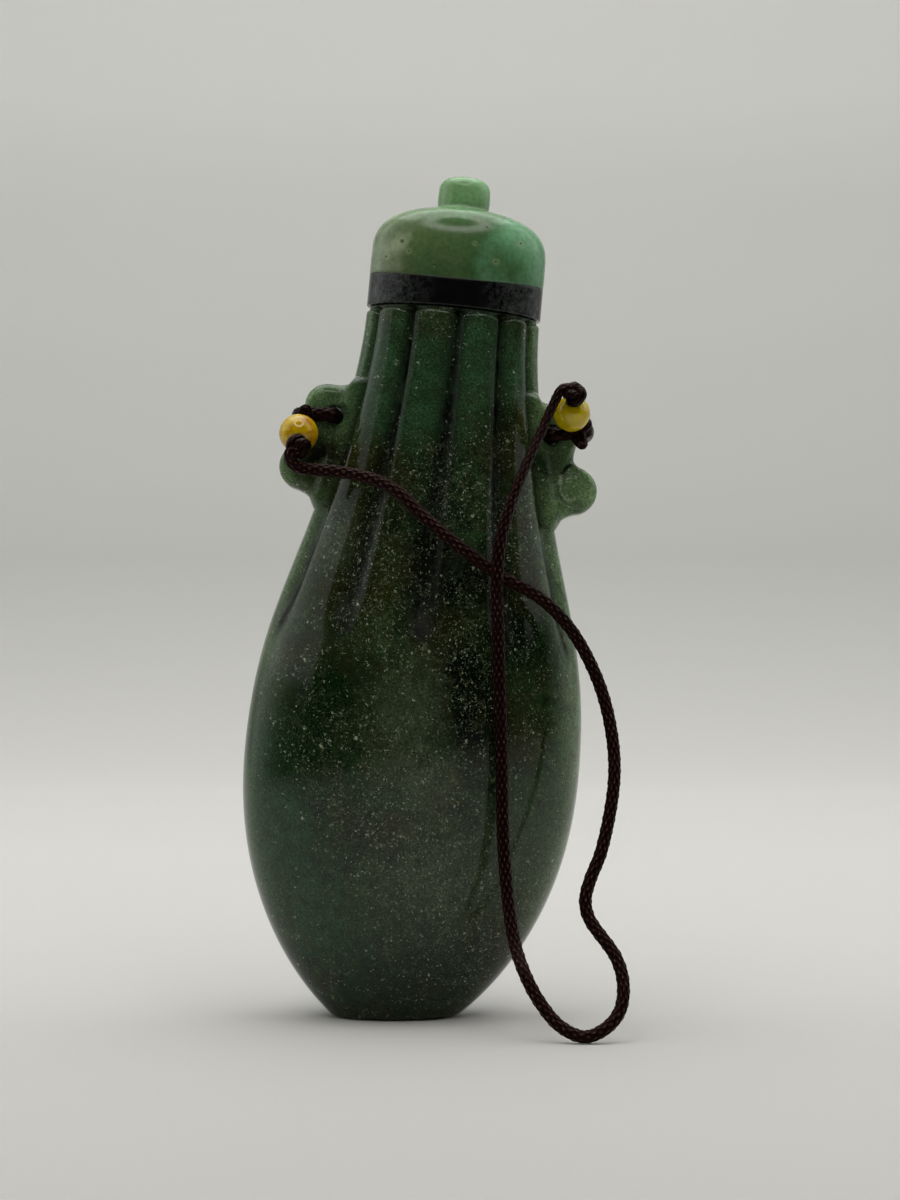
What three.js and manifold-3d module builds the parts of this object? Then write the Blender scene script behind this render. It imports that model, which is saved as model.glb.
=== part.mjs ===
// A carved green stone snuff bottle with a lift-off stopper and a carrying cord.
// Millimetres, +Z up. The origin is the centre of the flat foot, and +Y points to the back.
// The bottle's own axis leans to the right, because its foot was ground flat at an angle to it.
// Most shapes are worked out in the bottle's frame (x across, y deep, z up along its axis),
// and a turned group then leans them over.

import * as THREE from 'three';
import { mergeVertices } from 'three/addons/utils/BufferGeometryUtils.js';
import Module from 'manifold-3d';

const wasm = await Module();
wasm.setup();

// Bottle: lean, heights along its axis, and half sizes of its oval section
const LEAN = THREE.MathUtils.degToRad(5.3);
const BODY_HEIGHT = 74.05;
const BELLY_HEIGHT = 26.8;
const BELLY_HALF_WIDTH = 17.6;
const BELLY_HALF_DEPTH = 10.9;
const NECK_HALF_WIDTH = 9.15;
const NECK_HALF_DEPTH = 5.95;
const FOOT_HALF_WIDTH = 6.35;
// How full the curve is from belly to foot, and how far the neck's curve is drawn out
const FOOT_CURVE_UP = 2.13;
const FOOT_CURVE_OUT = 1.5;
const NECK_CURVE_DRAW = 0.012;

// Carving: lobes round the neck, with round-ended channels between them. The front channels are
// given by their places round the oval in degrees, and the back ones mirror them.
const FRONT_CHANNELS_AT_LIP = [206, 241, 274, 306, 335];
const FRONT_CHANNELS_AT_FOOT = [203, 239, 269, 301, 338];
const LOBES = 2 * FRONT_CHANNELS_AT_LIP.length;
const LOBE_SWELL = 0.5;
const CHANNEL_DEPTH = 0.8;
const CHANNEL_DEPTH_AT_LIP = 0.25;
const CHANNEL_HALF_WIDTH_TOP = 0.7;
const CHANNEL_HALF_WIDTH_LOW = 1.9;
const CHANNEL_FOOT_HEIGHT = 38.2;
const CHANNEL_END_LENGTH = 3.6;
const LIP_ROUNDING = 0.7;

// Hollow: wall, floor, and a round bore at the mouth
const WALL = 3.0;
const FLOOR = 4.0;
const HOLLOW_ROUNDING = 7.0;
const BORE_RADIUS = 3.75;
const BORE_LENGTH = 9.0;
const SHOULDER_LENGTH = 20.0;

// Handles: flat slabs carved in one with the neck, each an upper horn over a lower scroll
const HANDLE_THICKNESS = 4.4;
const HANDLE_EDGE = 0.5;
const HANDLE_DROP = 8.65;
const HORN_REACH = 5.5;
const HORN_RADIUS = 2.3;
const SCROLL_REACH = 7.6;
const SCROLL_RADIUS = 2.5;
const SCROLL_DROP = 6.6;
const HANDLE_ROOT_SINK = 2.0;
const HOLE_RADIUS = 0.95;
const HOLE_IN_FROM_EDGE = 3.2;
const HOLE_BELOW_HORN = 1.05;
const NOTCH_DEPTH = 0.6;
const NOTCH_ABOVE_SCROLL = 3.1;
const HANDLE_TAIL = 0.88;
const HANDLE_FILLET = 1.15;

// Stopper: black collar with its plug, and a domed cap with a knob
const SEAT_GAP = 0.3;
const COLLAR_HEIGHT = 3.0;
const COLLAR_OVERHANG = 0.05;
const COLLAR_EDGE = 0.15;
const JOINT_DIP = 0.55;
const PLUG_CLEARANCE = 0.35;
const PLUG_LENGTH = 5.0;
const PLUG_TAPER_IN = 0.5;
const PLUG_TAPER_LENGTH = 1.0;
const CAP_WALL_HEIGHT = 2.35;
const DOME_HEIGHT = 5.05;
const DOME_FULLNESS = 2.65;
const KNOB_RADIUS = 2.7;
const KNOB_HEIGHT = 3.47;
const KNOB_FILLET = 0.35;
const KNOB_ROUNDING = 1.35;

// Cord and beads
const CORD_DIAMETER = 1.25;
const CORD_SIDES = 8;
const CORD_STEP = 2.8 * CORD_DIAMETER;
const HITCH_STEP = 1.1 * CORD_DIAMETER;
const KNOT_RADIUS = 1.15;
const HITCH_KNOT_RADIUS = 0.75;
const HITCH_GAP = 0.3;
const HITCH_BEND = 0.75;
const LEFT_BEAD_RADIUS = 2.02;
const RIGHT_BEAD_RADIUS = 1.9;
const BEAD_HOLE_RADIUS = 0.95;
const BEAD_OFF_HANDLE = 0.7;
const KNOT_OFF_BEAD = 0.2;
const STEM_PAST_BEAD = 0.4;

// Facets round the pieces, and steps along their curves
const FACETS_PER_LOBE = 6;
const FACETS_ROUND = LOBES * FACETS_PER_LOBE;
const STOPPER_FACETS = 36;
const BEAD_FACETS = 12;
const BEAD_STEPS = 6;
const KNOT_FACETS = 10;
const ARC_STEPS = 7;
const HOLE_STEPS = 5;
const DOME_STEPS = 8;
const LOWER_STEPS = 7;
const BELLY_STEPS = 4;
const NOSE_STEPS = 4;
const NECK_STEPS = 10;
const HOLLOW_STEPS = 3;
// Powers above 1 crowd the steps together where a curve turns fastest
const LOWER_CROWDING = 1.4;
const NOSE_CROWDING = 1.6;
const FLOOR_CROWDING = 1.5;
const DOME_CROWDING = 2.2;

const mix = THREE.MathUtils.lerp;
const smooth = THREE.MathUtils.smoothstep;

// Numbers from first to last, with count gaps between them
function spread(first, last, count) {
  return Array.from({ length: count + 1 }, (_, i) => mix(first, last, i / count));
}

// The virtual depth under the belly at which the lower curve would close to a point
const BELLY_DROP = BELLY_HEIGHT
  / (1 - (FOOT_HALF_WIDTH / BELLY_HALF_WIDTH) ** FOOT_CURVE_OUT) ** (1 / FOOT_CURVE_UP);

// Half width of the bottle at a height: a full curve below the belly,
// and above it half a cosine wave up to the neck
function halfWidthAt(height) {
  if (height < BELLY_HEIGHT) {
    const drop = (BELLY_HEIGHT - height) / BELLY_DROP;
    return BELLY_HALF_WIDTH * (1 - drop ** FOOT_CURVE_UP) ** (1 / FOOT_CURVE_OUT);
  }
  const rise = Math.min((height - BELLY_HEIGHT) / (BODY_HEIGHT - BELLY_HEIGHT), 1);
  const drawn = rise - NECK_CURVE_DRAW * Math.sin(3 * Math.PI * rise);
  return mix(NECK_HALF_WIDTH, BELLY_HALF_WIDTH, (1 + Math.cos(Math.PI * drawn)) / 2);
}

// Depth of the oval section as a share of its width
function depthShareAt(height) {
  const belly = BELLY_HALF_DEPTH / BELLY_HALF_WIDTH;
  const neck = NECK_HALF_DEPTH / NECK_HALF_WIDTH;
  return mix(belly, neck, smooth(height, BELLY_HEIGHT, BODY_HEIGHT));
}

// All channels' places round the oval, in radians, counted up from the right side
const channelRing = (front) => [...front.map((angle) => 360 - angle).reverse(), ...front]
  .map(THREE.MathUtils.degToRad);
const CHANNELS_AT_LIP = channelRing(FRONT_CHANNELS_AT_LIP);
const CHANNELS_AT_FOOT = channelRing(FRONT_CHANNELS_AT_FOOT);

// How far up its channels a height is, from 0 at their feet to 1 at the lip
function upChannels(height) {
  return smooth(height, CHANNEL_FOOT_HEIGHT, BODY_HEIGHT);
}

// Place round the oval of a channel counted round from the first one, at a height
function channelAngle(count, height) {
  const here = count % LOBES;
  const turns = (count - here) / LOBES * Math.PI * 2;
  return turns + mix(CHANNELS_AT_FOOT[here], CHANNELS_AT_LIP[here], upChannels(height));
}

// Place round the oval of a turn, where each lobe takes an equal share of the turn
function ovalAngle(turn, height) {
  const lobe = turn / (Math.PI * 2) * LOBES;
  const before = Math.floor(lobe);
  return mix(channelAngle(before, height), channelAngle(before + 1, height), lobe - before);
}

// How deep the carving is cut below the plain oval. Across a lobe it swells a little towards its
// middle, and between two lobes a channel is sunk. Downwards it gets wider and deeper, and it ends
// in a round nose.
function carvingAt(turn, height) {
  const lobe = turn / (Math.PI * 2) * LOBES;
  const before = Math.floor(lobe);
  const fromLobe = Math.abs(lobe - before - 0.5);
  const width = halfWidthAt(height);
  const depth = width * depthShareAt(height);
  const edges = [before, before + 1].map((count) => (
    ovalPoint(width, depth, channelAngle(count, height), 0, height)));
  const fromChannel = (0.5 - fromLobe) * edges[0].distanceTo(edges[1]);
  const up = upChannels(height);
  const swell = LOBE_SWELL * up * (2 * fromLobe) ** 2;
  const intoNose = THREE.MathUtils.clamp((height - CHANNEL_FOOT_HEIGHT) / CHANNEL_END_LENGTH, 0, 1);
  const nose = Math.sqrt(1 - (1 - intoNose) ** 2);
  const halfChannel = mix(CHANNEL_HALF_WIDTH_LOW, CHANNEL_HALF_WIDTH_TOP, up) * nose;
  const across = halfChannel > 0 ? Math.min(fromChannel / halfChannel, 1) : 1;
  const channel = mix(CHANNEL_DEPTH, CHANNEL_DEPTH_AT_LIP, up) * nose;
  return swell + channel * (1 - across ** 2);
}

// A point of an oval ring, moved in square to the oval by a cut
function ovalPoint(halfWidth, halfDepth, angle, cut, height) {
  const out = new THREE.Vector2(halfDepth * Math.cos(angle), halfWidth * Math.sin(angle)).normalize();
  const x = halfWidth * Math.cos(angle) - cut * out.x;
  const y = halfDepth * Math.sin(angle) - cut * out.y;
  return new THREE.Vector3(x, y, height);
}

// One ring of points, each worked out from its turn in radians
function ringOf(facets, pointAt) {
  return Array.from({ length: facets }, (_, i) => pointAt(i / facets * Math.PI * 2));
}

// A closed skin over rings listed from bottom to top on the outside, and on down the inside.
// A flat fan closes the first ring from below and the last ring from above.
function skinOver(rings) {
  const facets = rings[0].length;
  const centre = (ring) => ring.reduce((sum, p) => sum.add(p), new THREE.Vector3())
    .divideScalar(facets);
  const points = [...rings.flat(), centre(rings[0]), centre(rings.at(-1))];
  const faces = [];
  const firstCentre = rings.length * facets;
  for (let j = 0; j < facets; j += 1) {
    const next = (j + 1) % facets;
    for (let i = 0; i + 1 < rings.length; i += 1) {
      const low = i * facets;
      const high = low + facets;
      faces.push(low + j, low + next, high + next);
      faces.push(low + j, high + next, high + j);
    }
    const last = (rings.length - 1) * facets;
    faces.push(firstCentre, next, j);
    faces.push(firstCentre + 1, last + j, last + next);
  }
  const geometry = new THREE.BufferGeometry().setFromPoints(points);
  geometry.setIndex(faces);
  return geometry;
}

// Solids for cutting and joining, and back again
function solidOf(geometry) {
  const bare = geometry.clone();
  bare.deleteAttribute('normal');
  bare.deleteAttribute('uv');
  const merged = mergeVertices(bare, 1e-4);
  return new wasm.Manifold(new wasm.Mesh({
    numProp: 3,
    vertProperties: new Float32Array(merged.attributes.position.array),
    triVerts: new Uint32Array(merged.index.array),
  }));
}

function geometryOf(solid) {
  const mesh = solid.getMesh();
  const geometry = new THREE.BufferGeometry();
  geometry.setAttribute('position', new THREE.BufferAttribute(mesh.vertProperties, 3));
  geometry.setIndex(new THREE.BufferAttribute(mesh.triVerts, 1));
  return geometry;
}

// Foot: the height along the axis at which a column of the wall meets the level ground.
// Height and half width depend on each other, so the answer is found in a few rounds.
function footHeightAt(angle) {
  const rounds = 12;
  let height = 0;
  for (let round = 0; round < rounds; round += 1) {
    height = halfWidthAt(height) * Math.cos(angle) * Math.tan(LEAN);
  }
  return height;
}

// The axis meets the ground a little left of the foot's centre
const footRight = halfWidthAt(footHeightAt(0)) / Math.cos(LEAN);
const footLeft = halfWidthAt(footHeightAt(Math.PI)) / Math.cos(LEAN);
const AXIS_X = (footLeft - footRight) / 2;

// Outer wall of the bottle, ring by ring from the foot to the lip. Near the foot the rings
// lean over by degrees, until the lowest one lies flat on the ground.
function outerRing(height) {
  return ringOf(FACETS_ROUND, (turn) => {
    const angle = ovalAngle(turn, height);
    const level = Math.max(1 - height / FOOT_HALF_WIDTH, 0);
    const here = height + footHeightAt(angle) * level;
    const width = halfWidthAt(here);
    return ovalPoint(width, width * depthShareAt(here), angle, carvingAt(turn, here), here);
  });
}

// The lip rolls in from the lobes to the flat seat of the stopper
function lipRing(share) {
  const roll = share * Math.PI / 2;
  const height = BODY_HEIGHT - LIP_ROUNDING * (1 - Math.sin(roll));
  const inwards = LIP_ROUNDING * (1 - Math.cos(roll));
  return ringOf(FACETS_ROUND, (turn) => ovalPoint(NECK_HALF_WIDTH, NECK_HALF_DEPTH,
    ovalAngle(turn, height), carvingAt(turn, height) + inwards, height));
}

// Hollow: a round bore at the mouth that opens below into an oval as wide as the wall leaves
function innerRing(height) {
  const boreEnd = BODY_HEIGHT - BORE_LENGTH;
  const open = 1 - smooth(height, boreEnd - SHOULDER_LENGTH, boreEnd);
  const intoFloor = Math.min((height - FLOOR) / HOLLOW_ROUNDING, 1);
  const round = Math.sqrt(1 - (1 - intoFloor) ** 2);
  const width = halfWidthAt(height);
  const halfWidth = mix(BORE_RADIUS, width - WALL, open) * round;
  const halfDepth = mix(BORE_RADIUS, width * depthShareAt(height) - WALL, open) * round;
  return ringOf(FACETS_ROUND, (turn) => (
    ovalPoint(halfWidth, halfDepth, ovalAngle(turn, height), 0, height)));
}

function bottleShell() {
  const noseTop = CHANNEL_FOOT_HEIGHT + CHANNEL_END_LENGTH;
  const lipStart = BODY_HEIGHT - LIP_ROUNDING;
  const boreEnd = BODY_HEIGHT - BORE_LENGTH;
  const outer = [
    ...spread(0, 1, LOWER_STEPS).map((share) => BELLY_HEIGHT * share ** LOWER_CROWDING),
    ...spread(BELLY_HEIGHT, CHANNEL_FOOT_HEIGHT, BELLY_STEPS).slice(1),
    ...spread(0, 1, NOSE_STEPS).slice(1)
      .map((share) => mix(CHANNEL_FOOT_HEIGHT, noseTop, share ** NOSE_CROWDING)),
    ...spread(noseTop, lipStart, NECK_STEPS).slice(1),
  ];
  const floorEdge = FLOOR + HOLLOW_ROUNDING;
  const inner = [
    BODY_HEIGHT,
    boreEnd,
    ...spread(boreEnd, boreEnd - SHOULDER_LENGTH, HOLLOW_STEPS).slice(1),
    ...spread(boreEnd - SHOULDER_LENGTH, floorEdge, HOLLOW_STEPS).slice(1),
    ...spread(1, 0.1, HOLLOW_STEPS).slice(1)
      .map((share) => mix(FLOOR, floorEdge, share ** FLOOR_CROWDING)),
  ];
  return skinOver([
    ...outer.map(outerRing),
    ...[0.5, 1].map(lipRing),
    ...inner.map(innerRing),
  ]);
}

// Places on the handles, measured out from the axis and up along it
const HANDLE_TOP = BODY_HEIGHT - HANDLE_DROP;
const HORN_OUT = NECK_HALF_WIDTH + HORN_REACH;
const SCROLL_OUT = NECK_HALF_WIDTH + SCROLL_REACH;
const HORN_CENTRE = new THREE.Vector2(HORN_OUT - HORN_RADIUS, HANDLE_TOP - HORN_RADIUS);
const SCROLL_CENTRE = new THREE.Vector2(SCROLL_OUT - SCROLL_RADIUS, HORN_CENTRE.y - SCROLL_DROP);
const HOLE_CENTRE = new THREE.Vector2(HORN_OUT - HOLE_IN_FROM_EDGE, HORN_CENTRE.y - HOLE_BELOW_HORN);
const HANDLE_BOTTOM = SCROLL_CENTRE.y - SCROLL_RADIUS - HANDLE_TAIL;

// Outline of one handle: in at the root, out over the horn, in to the notch, round the scroll
// and back to the neck, with a small fillet above and below
function handleShape(side) {
  const shape = new THREE.Shape();
  const arc = (centre, radius, from, to) => {
    for (const angle of spread(from, to, ARC_STEPS)) {
      const turn = THREE.MathUtils.degToRad(angle);
      shape.lineTo(side * (centre.x + radius * Math.cos(turn)), centre.y + radius * Math.sin(turn));
    }
  };
  const topRoot = HANDLE_TOP + HANDLE_FILLET;
  const bottomRoot = HANDLE_BOTTOM - HANDLE_FILLET;
  const topNeck = halfWidthAt(topRoot);
  const bottomNeck = halfWidthAt(bottomRoot);
  shape.moveTo(side * (topNeck - HANDLE_ROOT_SINK), topRoot);
  shape.lineTo(side * (topNeck - HANDLE_ROOT_SINK / 4), topRoot);
  shape.lineTo(side * (topNeck + HANDLE_FILLET / 4), HANDLE_TOP + HANDLE_FILLET / 4);
  shape.lineTo(side * (topNeck + HANDLE_FILLET), HANDLE_TOP);
  arc(HORN_CENTRE, HORN_RADIUS, 90, 0);
  shape.lineTo(side * (HORN_OUT - NOTCH_DEPTH), SCROLL_CENTRE.y + NOTCH_ABOVE_SCROLL);
  arc(SCROLL_CENTRE, SCROLL_RADIUS, 90, -85);
  shape.lineTo(side * (bottomNeck + HANDLE_FILLET / 2), HANDLE_BOTTOM + HANDLE_FILLET / 4);
  shape.lineTo(side * (bottomNeck - HANDLE_ROOT_SINK / 4), bottomRoot);
  shape.lineTo(side * (bottomNeck - HANDLE_ROOT_SINK), bottomRoot);
  const hole = new THREE.Path();
  hole.absarc(side * HOLE_CENTRE.x, HOLE_CENTRE.y, HOLE_RADIUS, 0, Math.PI * 2, false);
  shape.holes.push(hole);
  return shape;
}

// One handle with its rounded edges and pierced hole, in the bottle's frame
function handle(side) {
  const flat = HANDLE_THICKNESS - 2 * HANDLE_EDGE;
  const geometry = new THREE.ExtrudeGeometry(handleShape(side), {
    depth: flat,
    curveSegments: HOLE_STEPS,
    bevelEnabled: true,
    bevelSize: HANDLE_EDGE,
    bevelThickness: HANDLE_EDGE,
    bevelOffset: -HANDLE_EDGE,
    bevelSegments: 2,
  });
  return geometry.translate(0, 0, -flat / 2).rotateX(Math.PI / 2);
}

function bottleBody() {
  const body = solidOf(bottleShell()).add(solidOf(handle(-1))).add(solidOf(handle(1)));
  return geometryOf(body);
}

// Collar: an oval band on the lip, and under it the round plug that holds the stopper
const COLLAR_BOTTOM = BODY_HEIGHT + SEAT_GAP;
const COLLAR_TOP = COLLAR_BOTTOM + COLLAR_HEIGHT;

// The joint between collar and cap dips a little to the front and to the back
function stopperRing(radius, height, deepShare, dip = 0) {
  return ringOf(STOPPER_FACETS, (turn) => (
    ovalPoint(radius, radius * deepShare, turn, 0, height - dip * Math.sin(turn) ** 2)));
}

function collar() {
  const share = NECK_HALF_DEPTH / NECK_HALF_WIDTH;
  const band = NECK_HALF_WIDTH + COLLAR_OVERHANG;
  const plug = BORE_RADIUS - PLUG_CLEARANCE;
  return skinOver([
    stopperRing(plug - PLUG_TAPER_IN, COLLAR_BOTTOM - PLUG_LENGTH, 1),
    stopperRing(plug, COLLAR_BOTTOM - PLUG_LENGTH + PLUG_TAPER_LENGTH, 1),
    stopperRing(plug, COLLAR_BOTTOM, 1),
    stopperRing(band - COLLAR_EDGE, COLLAR_BOTTOM, share),
    stopperRing(band, COLLAR_BOTTOM + COLLAR_EDGE, share),
    stopperRing(band, COLLAR_TOP - COLLAR_EDGE, share, JOINT_DIP),
    stopperRing(band - COLLAR_EDGE, COLLAR_TOP, share, JOINT_DIP),
    stopperRing(plug, COLLAR_TOP - JOINT_DIP, 1),
  ]);
}

// Cap: an upright edge, a dome a little fuller than a quarter of an ellipse, and a round knob.
// The section turns from the neck's oval at the edge to the knob's circle on top.
const CAP_BOTTOM = COLLAR_TOP + SEAT_GAP;
const CAP_SHOULDER = CAP_BOTTOM + CAP_WALL_HEIGHT;

function domeHeightAt(radius) {
  const out = radius / NECK_HALF_WIDTH;
  return CAP_SHOULDER + DOME_HEIGHT * (1 - out ** DOME_FULLNESS) ** (1 / DOME_FULLNESS);
}

function cap() {
  const oval = NECK_HALF_DEPTH / NECK_HALF_WIDTH;
  const shareAt = (radius) => mix(1, oval, smooth(radius, KNOB_RADIUS, NECK_HALF_WIDTH));
  const edge = NECK_HALF_WIDTH - COLLAR_EDGE;
  const domeEnd = KNOB_RADIUS + KNOB_FILLET;
  const dome = spread(0, 1, DOME_STEPS)
    .map((share) => mix(NECK_HALF_WIDTH, domeEnd, share ** DOME_CROWDING));
  const knobFoot = domeHeightAt(KNOB_RADIUS);
  const knobTop = knobFoot + KNOB_HEIGHT;
  const knobEdge = spread(0, 0.9, 3).map((share) => {
    const turn = share * Math.PI / 2;
    const radius = KNOB_RADIUS - KNOB_ROUNDING * (1 - Math.cos(turn));
    return stopperRing(radius, knobTop - KNOB_ROUNDING * (1 - Math.sin(turn)), 1);
  });
  return skinOver([
    stopperRing(BORE_RADIUS, CAP_BOTTOM - JOINT_DIP, 1),
    stopperRing(edge, CAP_BOTTOM, oval, JOINT_DIP),
    stopperRing(NECK_HALF_WIDTH, CAP_BOTTOM + COLLAR_EDGE, oval, JOINT_DIP),
    ...dome.map((radius) => stopperRing(radius, domeHeightAt(radius), shareAt(radius))),
    stopperRing(KNOB_RADIUS, knobFoot + KNOB_FILLET, 1),
    ...knobEdge,
  ]);
}

// Where a place of the bottle's own frame is once the bottle leans
function leant(out, deep, up) {
  return new THREE.Vector3(out, deep, up)
    .applyAxisAngle(new THREE.Vector3(0, 1, 0), LEAN)
    .add(new THREE.Vector3(AXIS_X, 0, 0));
}

// The two ends of the cord. Each bead hangs beside its hole, in front of the handle, with the
// cord's stem through it towards a knot on its far side.
const ENDS = [
  {
    name: 'bead_left',
    side: -1,
    beadRadius: LEFT_BEAD_RADIUS,
    across: -3.5,
    up: -2.2,
    stem: new THREE.Vector3(0.05, -0.855, -0.52).normalize(),
  },
  {
    name: 'bead_right',
    side: 1,
    beadRadius: RIGHT_BEAD_RADIUS,
    across: 1.95,
    up: 2.0,
    stem: new THREE.Vector3(0.06, -0.785, 0.615).normalize(),
  },
];

// Middle line of the loose run from the left knot to the right one: across the shoulder to the
// right, down to the ground in a long loop, and up again in front of itself
const CORD_ROUTE = [
  [-9.5, -7.6, 58.9], [-10.5, -7.9, 58.4], [-10.5, -7.5, 57.6], [-9.9, -7.1, 57.0],
  [-8.7, -6.6, 56.8], [-5.5, -6.7, 56.5], [-1.9, -7.8, 55.6], [0.5, -8.7, 54.3],
  [2.8, -9.3, 52.0], [6.2, -9.7, 49.1], [10.4, -9.3, 46.0], [14.9, -8.4, 43.5],
  [18.1, -7.5, 40.3], [20.8, -7.5, 35.2], [22.1, -8.5, 30.1], [22.3, -9.8, 25.1],
  [20.9, -11.6, 18.2], [19.7, -12.4, 15.3], [19.2, -12.9, 13.4], [19.5, -13.4, 11.7],
  [22.1, -15.0, 7.9], [22.7, -16.0, 5.5], [22.3, -17.0, 3.1], [20.9, -17.7, 1.5],
  [18.8, -18.0, 0.7], [16.5, -17.5, 1.6], [14.6, -16.6, 3.7], [13.2, -15.6, 6.2],
  [12.1, -14.3, 9.5], [11.2, -12.2, 17.2], [10.9, -11.0, 29.0], [10.6, -11.1, 40.0],
  [10.5, -11.0, 45.7], [11.0, -10.5, 49.9], [12.9, -9.2, 55.6], [15.3, -7.7, 61.0],
  [16.7, -7.2, 64.3], [17.3, -7.1, 65.5], [18.0, -7.1, 65.8], [18.5, -7.1, 65.1],
].map((place) => new THREE.Vector3(...place));

// A plain tube of the cord's thickness along a curve
function tube(curve, step = CORD_STEP) {
  const section = new THREE.Shape(
    ringOf(CORD_SIDES, (turn) => new THREE.Vector2(Math.cos(turn), Math.sin(turn))
      .multiplyScalar(CORD_DIAMETER / 2)),
  );
  const steps = Math.ceil(curve.getLength() / step);
  return new THREE.ExtrudeGeometry(section, { steps, bevelEnabled: false, extrudePath: curve });
}

function ball(radius, centre) {
  const [x, y, z] = centre.toArray();
  return new THREE.SphereGeometry(radius, KNOT_FACETS, ARC_STEPS).translate(x, y, z);
}

// Bead centre, both knots and the hole's place for one end of the cord
function endPlaces(end) {
  const hole = leant(end.side * HOLE_CENTRE.x, 0, HOLE_CENTRE.y);
  const forward = HANDLE_THICKNESS / 2 + BEAD_OFF_HANDLE + end.beadRadius;
  const bead = hole.clone().add(new THREE.Vector3(end.across, -forward, end.up));
  const knot = bead.clone().addScaledVector(end.stem, end.beadRadius + KNOT_RADIUS + KNOT_OFF_BEAD);
  const stemEnd = bead.clone().addScaledVector(end.stem, -end.beadRadius - STEM_PAST_BEAD);
  const edge = leant(end.side * HORN_OUT, 0, HOLE_CENTRE.y);
  const hitchOut = edge.x + end.side * (CORD_DIAMETER / 2 + HITCH_GAP);
  return { hole, bead, knot, stemEnd, hitchOut };
}

// The hitch: out of the hole on both faces, round the handle's edge, with its ends in one knot
function hitch(end) {
  const { hole, stemEnd, hitchOut } = endPlaces(end);
  const face = HANDLE_THICKNESS / 2 + CORD_DIAMETER / 2 + HITCH_GAP;
  const at = (x, y) => new THREE.Vector3(x, y, hole.z);
  const bend = HITCH_BEND * end.side;
  const path = new THREE.CurvePath();
  const line = (from, to) => path.add(new THREE.LineCurve3(from, to));
  const turn = (from, corner, to) => path.add(new THREE.QuadraticBezierCurve3(from, corner, to));
  line(at(hitchOut, -face), at(hole.x + bend, -face));
  turn(at(hole.x + bend, -face), at(hole.x, -face), at(hole.x, -face + HITCH_BEND));
  line(at(hole.x, -face + HITCH_BEND), at(hole.x, face - HITCH_BEND));
  turn(at(hole.x, face - HITCH_BEND), at(hole.x, face), at(hole.x + bend, face));
  line(at(hole.x + bend, face), at(hitchOut - bend, face));
  turn(at(hitchOut - bend, face), at(hitchOut, face), at(hitchOut, face - HITCH_BEND));
  line(at(hitchOut, face - HITCH_BEND), at(hitchOut, -face));
  return { path, knot: at(hitchOut, -face), stemEnd };
}

// The whole cord as one piece: loose run, knots, stems through the beads, and hitches
function cord() {
  let whole = solidOf(tube(new THREE.CatmullRomCurve3(CORD_ROUTE)));
  for (const end of ENDS) {
    const { knot, stemEnd } = endPlaces(end);
    const { path, knot: hitchKnot } = hitch(end);
    const pieces = [
      ball(KNOT_RADIUS, knot),
      ball(HITCH_KNOT_RADIUS, hitchKnot),
      tube(new THREE.LineCurve3(knot, stemEnd)),
      tube(new THREE.LineCurve3(stemEnd, hitchKnot)),
      tube(path, HITCH_STEP),
    ];
    for (const piece of pieces) {
      whole = whole.add(solidOf(piece));
    }
  }
  return geometryOf(whole);
}

// A round bead with a hole along its own upright axis
function beadGeometry(radius) {
  const reach = Math.acos(BEAD_HOLE_RADIUS / radius);
  const profile = spread(-reach, reach, BEAD_STEPS).map((angle) => (
    new THREE.Vector2(radius * Math.cos(angle), radius * Math.sin(angle))));
  profile.push(profile[0].clone());
  return new THREE.LatheGeometry(profile, BEAD_FACETS);
}

const STONE = new THREE.MeshStandardMaterial({ color: 0x2f4a38, roughness: 0.22, metalness: 0 });
const CAP_STONE = new THREE.MeshStandardMaterial({ color: 0x5f9a6a, roughness: 0.2, metalness: 0 });
const COLLAR_STONE = new THREE.MeshStandardMaterial({ color: 0x24282a, roughness: 0.35, metalness: 0 });
const BEAD_AMBER = new THREE.MeshStandardMaterial({ color: 0xd9a21f, roughness: 0.15, metalness: 0 });
const CORD_SILK = new THREE.MeshStandardMaterial({ color: 0x3a1c22, roughness: 0.75, metalness: 0 });

function named(name, geometry, material) {
  const mesh = new THREE.Mesh(geometry, material);
  mesh.name = name;
  return mesh;
}

const snuffBottle = new THREE.Group();
const leaning = new THREE.Group();
leaning.rotation.y = LEAN;
leaning.position.x = AXIS_X;
leaning.add(named('bottle_body', bottleBody(), STONE));
leaning.add(named('stopper_collar', collar(), COLLAR_STONE));
leaning.add(named('stopper_cap', cap(), CAP_STONE));
snuffBottle.add(leaning);

for (const end of ENDS) {
  const bead = named(end.name, beadGeometry(end.beadRadius), BEAD_AMBER);
  bead.position.copy(endPlaces(end).bead);
  bead.quaternion.setFromUnitVectors(new THREE.Vector3(0, 1, 0), end.stem);
  snuffBottle.add(bead);
}

snuffBottle.add(named('cord', cord(), CORD_SILK));

export default snuffBottle;
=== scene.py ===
# %% [markdown]
# # A carved stone snuff bottle on its cord
#
# The bottle is a slender pear of dark green stone, ground hollow, with a lobed neck and two
# pierced handles left standing on its sides. Its stopper is a black band under a light green
# dome, and a braided cord with two amber beads is tied through the handles.
# The measured solids come in as a fixed frame. Every piece here is worked out again as a finer
# surface in that same frame, so nothing has to be fitted by eye.

# %% Start from the measured solids
import math

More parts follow.
